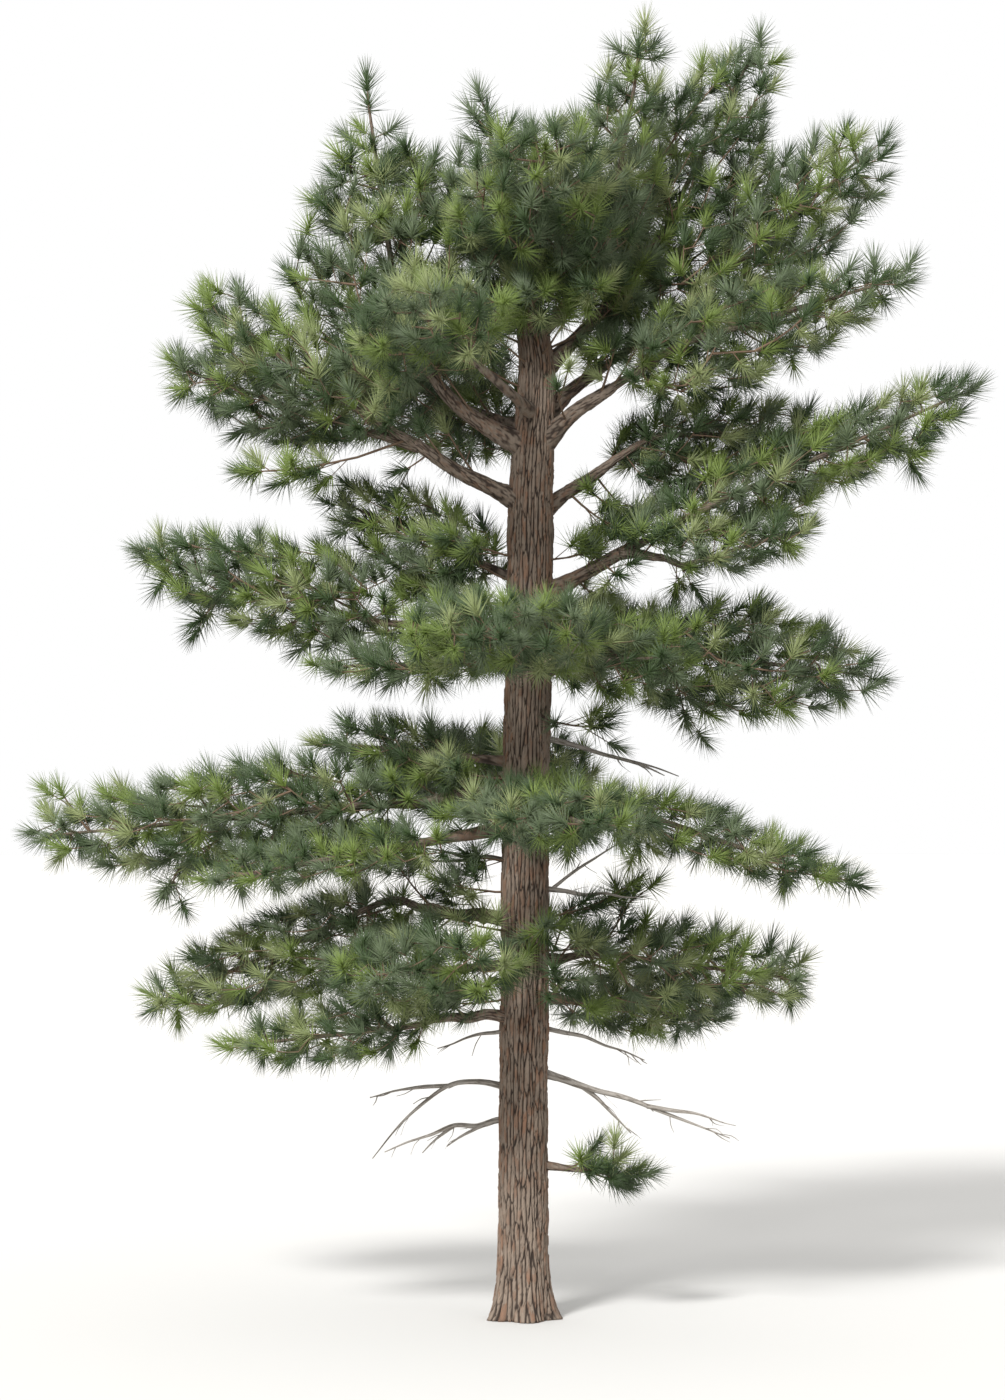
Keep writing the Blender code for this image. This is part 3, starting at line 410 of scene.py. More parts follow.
def trunk_at(height):
    """Middle and radius of the trunk at a height, eased from station to station."""
    height = min(max(height, 0.0), TRUNK_STATIONS[-1].height)
    upper = next(i for i in range(1, len(TRUNK_STATIONS)) if height <= TRUNK_STATIONS[i].height)
    low, high = TRUNK_STATIONS[upper - 1], TRUNK_STATIONS[upper]
    share = (height - low.height) / (high.height - low.height)
    smooth = eased(share, 0, 1)
    middle = Vector((mixed(low.lean, high.lean, smooth), mixed(low.depth, high.depth, smooth), height))
    return middle, mixed(low.radius, high.radius, share)


def flare_at(height, angle):
    """How far the root flare stands out of the trunk, with rounded toes."""
    toes = 1.0 - TOE_SHARE + TOE_SHARE * math.cos(FLARE_TOES * angle + TOE_TURN)
    return FLARE_OUT * toes * math.exp(-height / FLARE_HEIGHT)


def limb_path(name, start, run, bow, steps):
    """Points along a bowed limb, each inner one set off a little by the limb's own seeded draw."""
    azimuth, reach, rise = run
    bow_out, bow_up = bow
    draw = random.Random(name)
    along = heading_of(azimuth)
    across = Vector((-along.y, along.x, 0.0))
    end = start + along * reach + Vector((0, 0, rise))
    bend = (start + end) / 2 + (along * bow_out + Vector((0, 0, bow_up))) * 2
    points = []
    for step in range(steps + 1):
        share = step / steps
        point = on_curve(start, bend, end, share)
        if 0 < step < steps:
            aside = draw.uniform(-WANDER, WANDER)
            lift = draw.uniform(-WANDER, WANDER)
            point += (across * aside + Vector((0, 0, lift))) * reach
        points.append(point)
    return points


def point_along(path, share):
    """The point at a share of a path's length, counted by its steps."""
    place = share * (len(path) - 1)
    low = min(int(place), len(path) - 2)
    return path[low].lerp(path[low + 1], place - low)


def place_on(carrier, at, lines):
    """The place at a height on the trunk, or at a share of the path that comes first with another carrier."""
    return trunk_at(at)[0] if carrier == "trunk" else point_along(lines[carrier][0], at)


def split_path(path, share):
    """A path up to a share of its steps, and its points past that."""
    steps = share * (len(path) - 1)
    before, past = path[: math.ceil(steps - STEP_SLACK)], path[math.ceil(steps + STEP_SLACK) :]
    return before + [point_along(path, share)], past


def tapered(thick, thin, count):
    """Radii at even steps from root to tip."""
    return [thick + (thin - thick) * index / (count - 1) for index in range(count)]


def roundness(parts):
    """Distance from the middle of a rounded box from -1 to 1: 1 at its surface."""
    return sum(abs(part) ** SPACE_SQUARENESS for part in parts) ** (1 / SPACE_SQUARENESS)


class Space:
    """The room that one mass keeps to: a rounded volume along an axis."""

    def __init__(self, start, tip, width, depth, taper):
        line = tip - start
        self.along = line.normalized()
        self.across = Vector((0, 0, 1)).cross(self.along).normalized()
        self.up = self.along.cross(self.across)
        self.half = (line.length / 2, width, depth)
        self.middle = (start + tip) / 2
        self.taper = taper

    def halves_at(self, forward):
        """Half its length, width and depth where it is cut across, from -1 at its root to 1 at its tip."""
        length, width, depth = self.half
        left = 1 - self.taper * min(max(forward + 1, 0), 2) / 2
        return length, width * left, depth * left

    def depth_of(self, point):
        """0 at the middle of the space, 1 at its surface."""
        offset = point - self.middle
        parts = (offset.dot(self.along), offset.dot(self.across), offset.dot(self.up))
        halves = self.halves_at(parts[0] / self.half[0])
        return roundness([part / half for part, half in zip(parts, halves)])

    def place(self, ball, margin):
        """The point for coordinates from -1 to 1, held a margin inside the surface."""
        reaches = [max(half - margin, LEAST_SPREAD) for half in self.halves_at(ball[0])]
        offset = Vector()
        for axis, part, reach in zip((self.along, self.across, self.up), ball, reaches):
            offset += axis * part * reach
        return self.middle + offset


def lay_out_boughs():
    """For each bough its bare path and the points past that."""
    paths = {}
    for bough in BOUGHS:
        run = (bough.azimuth, bough.reach, bough.rise)
        bow = (bough.bow_out, bough.bow_up)
        whole = limb_path(bough.name, place_on(bough.on, bough.at, paths), run, bow, BOUGH_STEPS)
        paths[bough.name] = split_path(whole, bough.bare)
    return paths


def lay_out_mass(mass, paths):
    """The space of a mass, the points of its stem and the stem's radius at its root."""
    far = heading_of(mass.azimuth) * mass.out + Vector((0, 0, mass.high))
    if mass.on == "trunk":
        middle, radius = trunk_at(mass.at)
        begin = middle + (far - middle).normalized() * (radius + mass.bare)
        first = [middle, begin]
        thick = STEM_THICK + STEM_THICK_PER_METRE * (far - begin).length
    elif mass.on == "trunk_tip":
        top, thick = trunk_at(TRUNK_STATIONS[-1].height)
        begin = top + Vector((0, 0, mass.bare))
        first = [top - Vector((0, 0, STEM_LEAD)), top + Vector((0, 0, STEM_LEAD))]
    else:
        bare, past = paths[mass.on]
        begin = bare[-1]
        first = [begin, begin + (bare[-1] - bare[-2]).normalized() * STEM_LEAD] + past[1:2]
        thick = next(bough.thin for bough in BOUGHS if bough.name == mass.on)
    space = Space(begin, far, mass.width, mass.depth, mass.taper)
    tip = far - space.along * STEM_SHORT_OF_TIP
    points = first + [first[-1].lerp(tip, (step + 1) / STEM_STEPS) for step in range(STEM_STEPS)]
    return space, points, thick


def shown(name, mesh, materials):
    """A new smooth-shaded object of a mesh."""
    for material in materials:
        mesh.materials.append(material)
    mesh.shade_smooth()
    piece = bpy.data.objects.new(name, mesh)
    bpy.context.scene.collection.objects.link(piece)
    return piece


def mesh_object(name, source, materials):
    """A new object from a bmesh, which is freed."""
    mesh = bpy.data.meshes.new(name)
    source.to_mesh(mesh)
    source.free()
    return shown(name, mesh, materials)


def smooth_line(points, radii, step):
    """Even samples of places and radii on a smooth curve through the points."""
    knots = np.array([tuple(point) for point in points])
    radii = np.array(radii)
    tangents = np.gradient(knots, axis=0)
    places, widths = [], []
    for index in range(len(knots) - 1):
        length = np.linalg.norm(knots[index + 1] - knots[index])
        count = max(1, round(length / step))
        for share in np.arange(count) / count:
            square, cube = share**2, share**3
            place = (2 * cube - 3 * square + 1) * knots[index] + (cube - 2 * square + share) * tangents[index]
            place += (3 * square - 2 * cube) * knots[index + 1] + (cube - square) * tangents[index + 1]
            places.append(place)
            widths.append(mixed(radii[index], radii[index + 1], share))
    places.append(knots[-1])
    widths.append(radii[-1])
    return np.array(places), np.array(widths)


def ring_frames(places):
    """Two unit vectors across a line at each of its places, turning as little as they can."""
    along = np.gradient(places, axis=0)
    along /= np.linalg.norm(along, axis=1, keepdims=True)
    side = np.cross(along[0], (0.0, 0.0, 1.0) if abs(along[0][2]) < UPRIGHT else (0.0, -1.0, 0.0))
    sides = []
    for direction in along:
        side = side - direction * side.dot(direction)
        side /= np.linalg.norm(side)
        sides.append(side)
    sides = np.array(sides)
    return sides, np.cross(along, sides)


def scatter_middles(length, radius, width, stretch, draw):
    """Middles of ridges, spread evenly with a jitter over a limb whose length is shortened by the stretch."""
    columns = max(LEAST_COLUMNS, round(math.tau * radius / width))
    rows = max(LEAST_ROWS, round(length / (width * stretch)))
    middles = KDTree(columns * (rows + 2))
    for row in range(rows + 2):
        for column in range(columns):
            turn = math.tau * (column + row % 2 / 2 + draw.uniform(-RIDGE_JITTER, RIDGE_JITTER)) / columns
            level = (row - 0.5 + draw.uniform(-RIDGE_JITTER, RIDGE_JITTER)) * width
            place = (math.cos(turn) * radius, math.sin(turn) * radius, level)
            middles.insert(place, row * columns + column)
    middles.balance()
    return middles


def edge_at(middles, place, width):
    """A place's distance from the edge of its ridge, in ridge widths, and the ridge's number."""
    (first, number, near), *others = middles.find_n(place, NEIGHBOURS)
    edges = []
    for other, _, far in others:
        line = other - first
        lengthwise = (line.z / line.length) ** 2
        steepness = math.sqrt(1 - lengthwise + lengthwise / END_STRETCH**2)
        edges.append((far * far - near * near) / (2 * line.length * steepness))
    return min(edges) / width, number


class BarkOf:
    """The bark of one limb: ridges with furrows between, cracked across."""

    def __init__(self, name, length, radius, bark):
        draw = random.Random(name)
        self.bark = bark
        self.radius = radius
        self.seed = draw.uniform(0, SEED_SPAN)
        self.ridges = scatter_middles(length, radius, bark.ridge, bark.stretch, draw)
        self.crack_width = bark.ridge * CRACK_WIDTH
        self.scales = scatter_middles(length, radius, self.crack_width, CRACK_STRETCH, draw)

    def warped(self, place):
        """A place moved about, so that ridges waver and their edges are ragged."""
        spot = place / self.bark.ridge + Vector((self.seed, -self.seed, self.seed * SEED_SKEW))
        moved = noise.noise_vector(spot * BROAD_SCALE) * BROAD_WARP
        moved += noise.noise_vector(spot * RAGGED_SCALE) * RAGGED_WARP
        return place + moved * self.bark.ridge

    def at(self, angle, distance):
        """How far the bark stands out, its height from furrow 0 to ridge 1 with painted shade in the cracks,
        and its ridge's tint.
        """
        around = Vector((math.cos(angle) * self.radius, math.sin(angle) * self.radius, 0.0))
        place = self.warped(around + Vector((0, 0, distance / self.bark.stretch)))
        edge, number = edge_at(self.ridges, place, self.bark.ridge)
        height = eased(edge, FURROW_FROM, FURROW_TO)
        across = Vector((place.x, place.y, place.z * self.bark.stretch / CRACK_STRETCH))
        gap, scale = edge_at(self.scales, across, self.crack_width)
        crack = 1 - eased(gap, CRACK_FROM, CRACK_TO)
        tint = noise.cell(Vector((number * RIDGE_STRIDE, scale * SCALE_STRIDE, self.seed)))
        lump = noise.noise((around + Vector((0, 0, distance + self.seed))) / LUMP_LENGTH)
        grain = noise.noise(across / self.crack_width * GRAIN_SCALE)
        raised = height * (1 + RIDGE_STEP * (tint - 0.5)) - RIDGE_SET_BACK + GRAIN * grain
        out = self.bark.depth * raised - self.bark.crack * crack * height + self.bark.lump * lump
        return out, height * (1 - CRACK_SHADE * crack), tint


def add_limb(shape, name, points, radii, sides, step, bark, flare=None):
    """A closed limb with furrowed bark, rolled up from a grid and set along a smooth line."""
    places, widths = smooth_line(points, radii, step)
    distances = np.concatenate(([0.0], np.cumsum(np.linalg.norm(np.diff(places, axis=0), axis=1))))
    side, other = ring_frames(places)
    last = len(places) - 1
    ridge_and_shade_layer = shape.verts.layers.float["ridge"]
    tint_layer = shape.verts.layers.float["tint"]
    cover = BarkOf(name, distances[-1], widths[0], bark)
    grid = bmesh.ops.create_grid(shape, x_segments=sides, y_segments=last + 2, size=1.0)["verts"]
    seam = []
    for corner in grid:
        at_seam = abs(corner.co.x) > SEAM_AT
        angle = math.pi if at_seam else math.pi * corner.co.x
        level = round((corner.co.y + 1) / 2 * (last + 2)) - 1
        ring = min(max(level, 0), last)
        capped = level != ring
        out, height, tint = cover.at(angle, distances[ring])
        radius = widths[ring] + out * min(widths[ring] / widths[0] * THIN_FADE, 1)
        if flare:
            radius += flare(distances[ring], angle)
        if capped:
            radius = 0.0
        if at_seam or capped:
            seam.append(corner)
        outward = side[ring] * math.cos(angle) + other[ring] * math.sin(angle)
        corner.co = Vector(places[ring] + outward * radius)
        # The height, lowered in the cracks, that the bark's colour reads: it paints shade into the furrows and
        # cracks
        corner[ridge_and_shade_layer] = height
        corner[tint_layer] = tint
    bmesh.ops.remove_doubles(shape, verts=seam, dist=WELD)


def collar(radii, points):
    """Radii with the swelling where a limb leaves what carries it."""
    distance = 0.0
    swollen = []
    for index, radius in enumerate(radii):
        if index:
            distance += (points[index] - points[index - 1]).length
        swollen.append(radius * (1 + COLLAR_SWELL * math.exp(-distance / COLLAR_LENGTH)))
    return swollen


def barked_shape():
    """An empty bmesh whose corners keep the bark's height and tint."""
    shape = bmesh.new()
    shape.verts.layers.float.new("ridge")
    shape.verts.layers.float.new("tint")
    return shape


def barked_object(name, shape, material):
    """A new object of limbs with bark, their faces turned outwards."""
    bmesh.ops.recalc_face_normals(shape, faces=shape.faces)
    return mesh_object(name, shape, [material])


def make_trunk(material):
    """The trunk with its root flare, from the flat cut to the tip."""
    top = TRUNK_STATIONS[-1].height
    count = round(top / TRUNK_STEP)
    heights = [top * index / count for index in range(count + 1)]
    points = [trunk_at(height)[0] for height in heights]
    radii = [trunk_at(height)[1] for height in heights]
    shape = barked_shape()
    add_limb(shape, "trunk", points, radii, TRUNK_SIDES, TRUNK_RING, TRUNK_BARK, flare=flare_at)
    for corner in shape.verts:
        corner.co.z = max(corner.co.z, 0.0)
    return barked_object("trunk_bark", shape, material)


def make_boughs(paths, layout, material):
    """Every bough with the stem that goes on from it through its mass, and the stems that leave the trunk."""
    shape = barked_shape()
    carried = {mass.on: mass.name for mass in MASSES}
    for bough in BOUGHS:
        bare = paths[bough.name][0]
        radii = tapered(bough.thick, bough.thin, len(bare))
        _, stem, thick = layout[carried[bough.name]]
        points = bare + stem[1:]
        radii += tapered(thick, STEM_TIP, len(stem))[1:]
        add_limb(shape, bough.name, points, collar(radii, points), BOUGH_SIDES, BOUGH_RING, BOUGH_BARK)
    for mass in MASSES:
        if mass.on.startswith("trunk"):
            _, stem, thick = layout[mass.name]
            radii = tapered(thick, STEM_TIP, len(stem))
            add_limb(shape, mass.name, stem, collar(radii, stem), STEM_SIDES, STEM_RING, STEM_BARK)
    return barked_object("bough_bark", shape, material)


def add_dead_twigs(shape, name, path, draw):
    """Fine bare twigs along a dead limb, to both sides and mostly downwards."""
    length = sum((high - low).length for low, high in zip(path, path[1:]))
    for number in range(round(length * DEAD_TWIGS_PER_METRE)):
        share = draw.uniform(*DEAD_TWIG_SHARES)
        start = point_along(path, share)
        past = point_along(path, min(share + LOOK_ALONG, 1.0))
        along = (past - point_along(path, share - LOOK_ALONG)).normalized()
        aside = strayed(draw, 1) - Vector((0, 0, DEAD_TWIG_DROOP))
        reach = draw.uniform(*DEAD_TWIG_LENGTH) * (DEAD_TWIG_FULL - share * DEAD_TWIG_FADE)
        end = start + (along + aside * DEAD_TWIG_ASIDE).normalized() * reach
        points = [start, start.lerp(end, 0.5) + strayed(draw, DEAD_TWIG_CROOK) * reach, end]
        radii = tapered(*DEAD_TWIG_RADII, len(points))
        add_limb(shape, name + str(number), points, radii, DEAD_TWIG_SIDES, DEAD_TWIG_RING, DEAD_BARK)


def make_dead_limbs(material):
    """The bare dead limbs with their forks and fine twigs."""
    shape = barked_shape()
    for dead in DEAD_LIMBS:
        draw = random.Random(dead.name)
        run = (dead.azimuth, dead.reach, dead.rise)
        path = limb_path(dead.name, trunk_at(dead.at)[0], run, (0.0, dead.bow_up), BOUGH_STEPS)
        radii = collar(tapered(dead.thick, DEAD_LIMB_END, len(path)), path)
        add_limb(shape, dead.name, path, radii, DEAD_SIDES, DEAD_RING, DEAD_BARK)
        add_dead_twigs(shape, dead.name + "_twig", path, draw)
        for share, turn, reach, rise in dead.forks:
            name = dead.name + str(turn)
            run = (dead.azimuth + turn, reach, rise)
            fork = limb_path(name, point_along(path, share), run, (0.0, DEAD_FORK_BOW), FORK_STEPS)
            radii = tapered(dead.thick * DEAD_FORK_SHARE, DEAD_LIMB_END, len(fork))
            add_limb(shape, name, fork, radii, DEAD_SIDES, DEAD_RING, DEAD_BARK)
            add_dead_twigs(shape, name + "_twig", fork, draw)
    return barked_object("dead_limb_wood", shape, material)


def darts(space, order, taken, draw):
    """Seeded darts thrown into the space and kept a spacing apart, the nearest to the root first."""
    places = []
    for _ in range(DART_TRIES):
        ball = [draw.uniform(-1, 1) for _ in range(3)]
        if roundness(ball) > 1:
            continue
        place = space.place(ball, order.margin)
        if all((place - other).length > order.spacing for other in places):
            if all((place - other).length > LEAST_APART for other in taken):
                places.append(place)
    root = space.middle - space.along * space.half[0]
    return sorted(places, key=lambda place: (place - root).length)


def near_trunk(place):
    """True where a place lies in the trunk or close to its bark."""
    middle, radius = trunk_at(place.z)
    clearance = radius + TRUNK_CLEARANCE
    return place.z < TRUNK_STATIONS[-1].height and (place - middle).length < clearance


def before_fork(place):
    """True in the open rooms in front of the trunk's fork."""
    if place.y > 0 or place.z < FORK_BOTTOM:
        return False
    return any(left < place.x < right and place.z < top for left, right, top in FORK_ROOMS)


def wood_along(points, space):
    """Places on a stem that a twig may spring from, each with its direction."""
    wood = []
    for low, high in zip(points[1:-1], points[2:]):
        count = max(1, round((high - low).length / WOOD_STEP))
        along = (high - low).normalized()
        wood += [(low.lerp(high, (step + 0.5) / count), along) for step in range(count)]
    return [(point, along) for point, along in wood if space.depth_of(point) < WOOD_DEPTH]


def claims(place, name, spaces):
    """True where a place lies deeper in its own mass's space than in any other."""
    depth = spaces[name].depth_of(place)
    return all(other.depth_of(place) >= depth for key, other in spaces.items() if key != name)


Twig = namedtuple("Twig", "start bend end thick thin")
Tuft = namedtuple("Tuft", "place heading")


def upturned(direction, share=1.0):
    """A direction turned up a little, as young shoots stand."""
    return (direction + Vector((0, 0, UPTURN * share))).normalized()


def grow_shoot(mass_name, shoot, start):
    """A short shoot with side twigs, and a tuft at the end of each."""
    line = heading_of(shoot.azimuth) * shoot.reach + Vector((0, 0, shoot.rise))
    draw = random.Random(mass_name + str(shoot.azimuth) + str(shoot.at))
    order = TWIG_ORDERS[0]
    end = start + line
    bend = start + line * 0.5 - Vector((0, 0, TWIG_SAG)) * shoot.reach
    twigs = [Twig(start, bend, end, order.thick, order.thin)]
    tufts = [Tuft(end, upturned(line.normalized()))]
    for number in range(shoot.tufts - 1):
        share = SHOOT_BARE + (1 - SHOOT_BARE) * number / (shoot.tufts - 1)
        joint = on_curve(start, bend, end, share)
        place = joint + strayed(draw, SHOOT_SPREAD) + line.normalized() * SHOOT_SPREAD
        if before_fork(place):
            continue
        twigs.append(Twig(joint, joint.lerp(place, 0.5), place, order.thin, TWIG_ORDERS[1].thin))
        tufts.append(Tuft(place, upturned(place - joint, SHOOT_SPREAD)))
    return twigs, tufts


def grow_mass(name, layout, spaces):
    """Twigs of one mass by the solids' rule, then finer ones between them, each with a tuft."""
    space, stem, _ = layout[name]
    draw = random.Random(name)
    wood = wood_along(stem, space)
    twigs = []
    tufts = [Tuft(stem[-1], (stem[-1] - stem[-2]).normalized())]
    taken = [stem[-1]]
    for order in TWIG_ORDERS:
        for place in darts(space, order, taken, draw):
            if near_trunk(place) or before_fork(place) or not claims(place, name, spaces):
                continue

            def cost(source, place=place):
                line = place - source[0]
                return line.length * BACKWARD_COST - line.dot(space.along) * SLANT_GAIN

            source, along = min(wood, key=cost)
            line = place - source
            swing = TWIG_SWING * max(line.normalized().dot(along), 0)
            bend = source + line * 0.5 + (along * swing - Vector((0, 0, TWIG_SAG))) * line.length * 0.5
            twigs.append(Twig(source, bend, place, order.thick, order.thin))
            tufts.append(Tuft(place, upturned((place - bend).normalized())))
            taken.append(place)
            wood += [(on_curve(source, bend, place, share), line.normalized()) for share in FORKS_AT]
    return twigs, tufts


def joined_mesh(name, corners, faces, tints, materials):
    """One object of triangles from arrays, with a material for each face."""
    mesh = bpy.data.meshes.new(name)
    mesh.vertices.add(len(corners))
    mesh.vertices.foreach_set("co", corners.astype(np.float32).ravel())
    mesh.loops.add(faces.size)
    mesh.loops.foreach_set("vertex_index", faces.astype(np.int32).ravel())
    mesh.polygons.add(len(faces))
    mesh.polygons.foreach_set("loop_start", np.arange(0, faces.size, 3, dtype=np.int32))
    mesh.polygons.foreach_set("material_index", tints.astype(np.int32))
    mesh.update(calc_edges=True)
    return shown(name, mesh, materials)


def arrays_of(shape):
    """Corners and triangles of a bmesh, which is freed."""
    bmesh.ops.triangulate(shape, faces=shape.faces)
    shape.verts.index_update()
    corners = np.array([tuple(corner.co) for corner in shape.verts])
    faces = np.array([[corner.index for corner in face.verts] for face in shape.faces])
    shape.free()
    return corners, faces


def twig_arrays(twigs):
    """All twigs as four-sided tubes on bent lines."""
    starts, bends, ends = (np.array([tuple(twig[part]) for twig in twigs]) for part in range(3))
    shares = np.linspace(0, 1, TWIG_RINGS)
    lines = [on_curve(starts, bends, ends, share) for share in shares]
    radii = np.array([(twig.thick, twig.thin) for twig in twigs])
    along = ends - starts
    along /= np.linalg.norm(along, axis=1, keepdims=True)
    side = np.cross(along, ODD_WAY)
    side /= np.linalg.norm(side, axis=1, keepdims=True)
    other = np.cross(along, side)
    rings = []
    for share, line in zip(shares, lines):
        radius = radii[:, :1] * (1 - share) + radii[:, 1:] * share
        for step in range(TWIG_SIDES):
            turn = math.tau * step / TWIG_SIDES
            rings.append(line + (side * math.cos(turn) + other * math.sin(turn)) * radius)
    corners = np.stack(rings, axis=1).reshape(-1, 3)
    faces = []
    for ring in range(TWIG_RINGS - 1):
        for step in range(TWIG_SIDES):
            low = ring * TWIG_SIDES + step
            next_low = ring * TWIG_SIDES + (step + 1) % TWIG_SIDES
            high, next_high = low + TWIG_SIDES, next_low + TWIG_SIDES
            faces += [(low, next_low, next_high), (low, next_high, high)]
    each = TWIG_RINGS * TWIG_SIDES
    faces = np.array(faces)[None] + (np.arange(len(twigs)) * each)[:, None, None]
    return corners, faces.reshape(-1, 3)


def tuft_shape(kind):
    """A short shoot with long needles round its last stretch, at the origin and pointing up."""
    draw = random.Random(kind)
    low_tilt = LOW_TILTS[kind % len(LOW_TILTS)]
    shape = bmesh.new()
    for index in range(TUFT_NEEDLES):
        share = (index + 0.5) / TUFT_NEEDLES
        tilt = mixed(TOP_TILT, low_tilt, share) + draw.uniform(-TILT_JITTER, TILT_JITTER)
        turn = index * NEEDLE_TURN + draw.uniform(-TURN_JITTER, TURN_JITTER)
        length = NEEDLE_LENGTH * draw.uniform(*NEEDLE_LENGTHS)
        root = Matrix.Translation((0, 0, SHOOT_LENGTH * (1 - share)))
        turned = Matrix.Rotation(turn, 4, "Z") @ Matrix.Rotation(tilt, 4, "Y")
        raised = Matrix.Translation((0, 0, length / 2))
        bmesh.ops.create_cone(
            shape,
            cap_ends=False,
            segments=NEEDLE_SIDES,
            radius1=NEEDLE_RADIUS,
            radius2=0.0,
            depth=length,
            matrix=root @ turned @ raised,
        )
    return arrays_of(shape)


def place_tufts(tufts, kinds, draw):
    """Copies of the tufts' shapes at their places, as arrays, with a tint dealt out to each tuft."""
    corners, faces, tints = [], [], []
    shares = [tint.share for tint in NEEDLE_TINTS]
    total = 0
    for tuft in tufts:
        kind_corners, kind_faces = kinds[draw.randrange(len(kinds))]
        turned = tuft.heading.to_track_quat("Z", "Y").to_matrix().to_4x4()
        spun = turned @ Matrix.Rotation(draw.uniform(0, math.tau), 4, "Z")
        matrix = np.array(spun @ Matrix.Scale(draw.uniform(*TUFT_SIZES), 4))[:3, :3]
        root = np.array(tuft.place - tuft.heading * SHOOT_LENGTH * TUFT_SUNK)
        corners.append(kind_corners @ matrix.T + root)
        faces.append(kind_faces + total)
        total += len(kind_corners)
        tint = draw.choices(range(len(NEEDLE_TINTS)), shares)[0]
        tints.append(np.full(len(kind_faces), tint))
    return np.concatenate(corners), np.concatenate(faces), np.concatenate(tints)


class Value:
    """A shader socket whose sums add Math nodes."""

    def __init__(self, look, socket):
        self.look = look
        self.socket = socket

    def math(self, operation, first, second):
        return self.look.node("ShaderNodeMath", {"operation": operation}, {0: first, 1: second})

    def __add__(self, other):
        return self.math("ADD", self, other)

    __radd__ = __add__

    def __mul__(self, other):
        return self.math("MULTIPLY", self, other)

    __rmul__ = __mul__

    def __sub__(self, other):
        return self.math("SUBTRACT", self, other)

    def __rsub__(self, other):
        return self.math("SUBTRACT", other, self)


class Look:
    """A material in the making: its nodes come from one method, and its shader's sockets are set here."""

    def __init__(self, name):
        self.material = bpy.data.materials.new(name)
        self.material.use_nodes = True
        self.tree = self.material.node_tree
        self.shader = self.tree.nodes["Principled BSDF"]

    def give(self, socket, value):
        if isinstance(value, Value):
            self.tree.links.new(value.socket, socket)
        else:
            socket.default_value = value

    def node(self, kind, settings=None, values=None, output=0):
        """A node of a type, with its settings and then the values or links of its sockets."""
        made = self.tree.nodes.new(kind)
        for key, setting in (settings or {}).items():
            if key == "stops":
                self.set_stops(made.color_ramp, setting)
            else:
                setattr(made, key, setting)
        for key, value in (values or {}).items():
            self.give(made.inputs[key], value)
        return Value(self, made.outputs[output])

    def set_stops(self, ramp, stops):
        while len(ramp.elements) < len(stops):
            ramp.elements.new(1.0)
        for element, (position, colour) in zip(ramp.elements, stops):
            element.position = position
            element.color = (*colour, 1.0)

    def place(self, scale):
        """Object coordinates, stretched."""
        coordinates = self.node("ShaderNodeTexCoord", output=OBJECT_SPACE)
        return self.node("ShaderNodeMapping", None, {"Vector": coordinates, "Scale": scale})

    def mottle(self, scale, detail, stretch=(1.0, 1.0, 1.0)):
        """Soft noise from 0 to 1 over the object."""
        values = {"Vector": self.place(stretch), "Scale": scale, "Detail": detail}
        return self.node("ShaderNodeTexNoise", None, values | {"Roughness": NOISE_ROUGHNESS})

    def mask(self, value, low, high):
        """Black below the low value, white above the high one, and grey between."""
        stops = tuple(zip((low, high), BLACK_TO_WHITE))
        return self.node("ShaderNodeValToRGB", {"stops": stops}, {0: value})

    def corner_value(self, name):
        """A value that the mesh keeps for its corners."""
        return self.node("ShaderNodeAttribute", {"attribute_name": name}, output=FACTOR)

    def blend(self, share, first, second):
        """Mixes two colours."""
        first, second = ((*part, 1.0) if isinstance(part, tuple) else part for part in (first, second))
        values = {0: share, MIX_FIRST: first, MIX_SECOND: second}
        return self.node("ShaderNodeMix", {"data_type": "RGBA"}, values, output=MIX_COLOUR)

    def bump(self, height, strength, distance):
        values = {"Height": height, "Strength": strength, "Distance": distance}
        return self.node("ShaderNodeBump", None, values)

    def finish(self, **sockets):
        for name, value in sockets.items():
            self.give(self.shader.inputs[name.replace("_", " ")], value)
        return self.material


def bark_finish(name, colours):
    """Furrowed bark: ridges grey or red brown, flaking along their length, and painted shade darkening the
    furrows and cracks between.
    """
    look = Look(name)
    height = look.corner_value("ridge")
    tint = look.corner_value("tint")
    patches = look.mottle(scale=1.3, detail=3.0) * PATCH_GAIN + tint * TINT_GAIN - PATCH_DROP
    ridges = look.blend(look.mask(patches, low=0.30, high=0.66), colours.grey, colours.red)
    flakes = look.mask(look.mottle(colours.grain, detail=5.0, stretch=FLAKE_SHAPE), low=0.38, high=0.66)
    flaked = look.blend(flakes * FLAKE_SHARE, ridges, tuple(part * FLAKE_SHADE for part in colours.grey))
    # Painted shade: near black in the furrows and cracks, where the corners' height is low
    colour = look.blend(look.mask(height, low=0.04, high=0.70), colours.furrow, flaked)
    rough = look.mottle(colours.grain * ROUGH_GRAIN, detail=6.0, stretch=ROUGH_SHAPE)
    bump = look.bump(rough, strength=0.6, distance=0.008)
    return look.finish(Base_Color=colour, Roughness=0.98 - height * 0.12, Normal=bump)


def dead_finish():
    """Bare weathered wood: silver grey, with painted shade darkening the cracks along it."""
    look = Look("dead_wood_grey")
    height = look.corner_value("ridge")
    weather = look.mottle(scale=7.0, detail=4.0)
    grey = look.blend(weather, DEAD_DARK, DEAD_LIGHT)
    # Painted shade: darker in the furrows along the wood, where the corners' height is low
    colour = look.blend(look.mask(height, low=0.0, high=0.6), DEAD_CRACK_SHADE, grey)
    bump = look.bump(look.mottle(scale=60.0, detail=4.0), strength=0.4, distance=0.003)
    return look.finish(Base_Color=colour, Roughness=0.92 - weather * 0.1, Normal=bump)


def twig_finish():
    """Rough young bark, orange brown."""
    look = Look("twig_bark")
    patches = look.mottle(scale=14.0, detail=3.0)
    colour = look.blend(patches, TWIG_DARK, TWIG_LIGHT)
    return look.finish(Base_Color=colour, Roughness=0.95 - patches * 0.2)


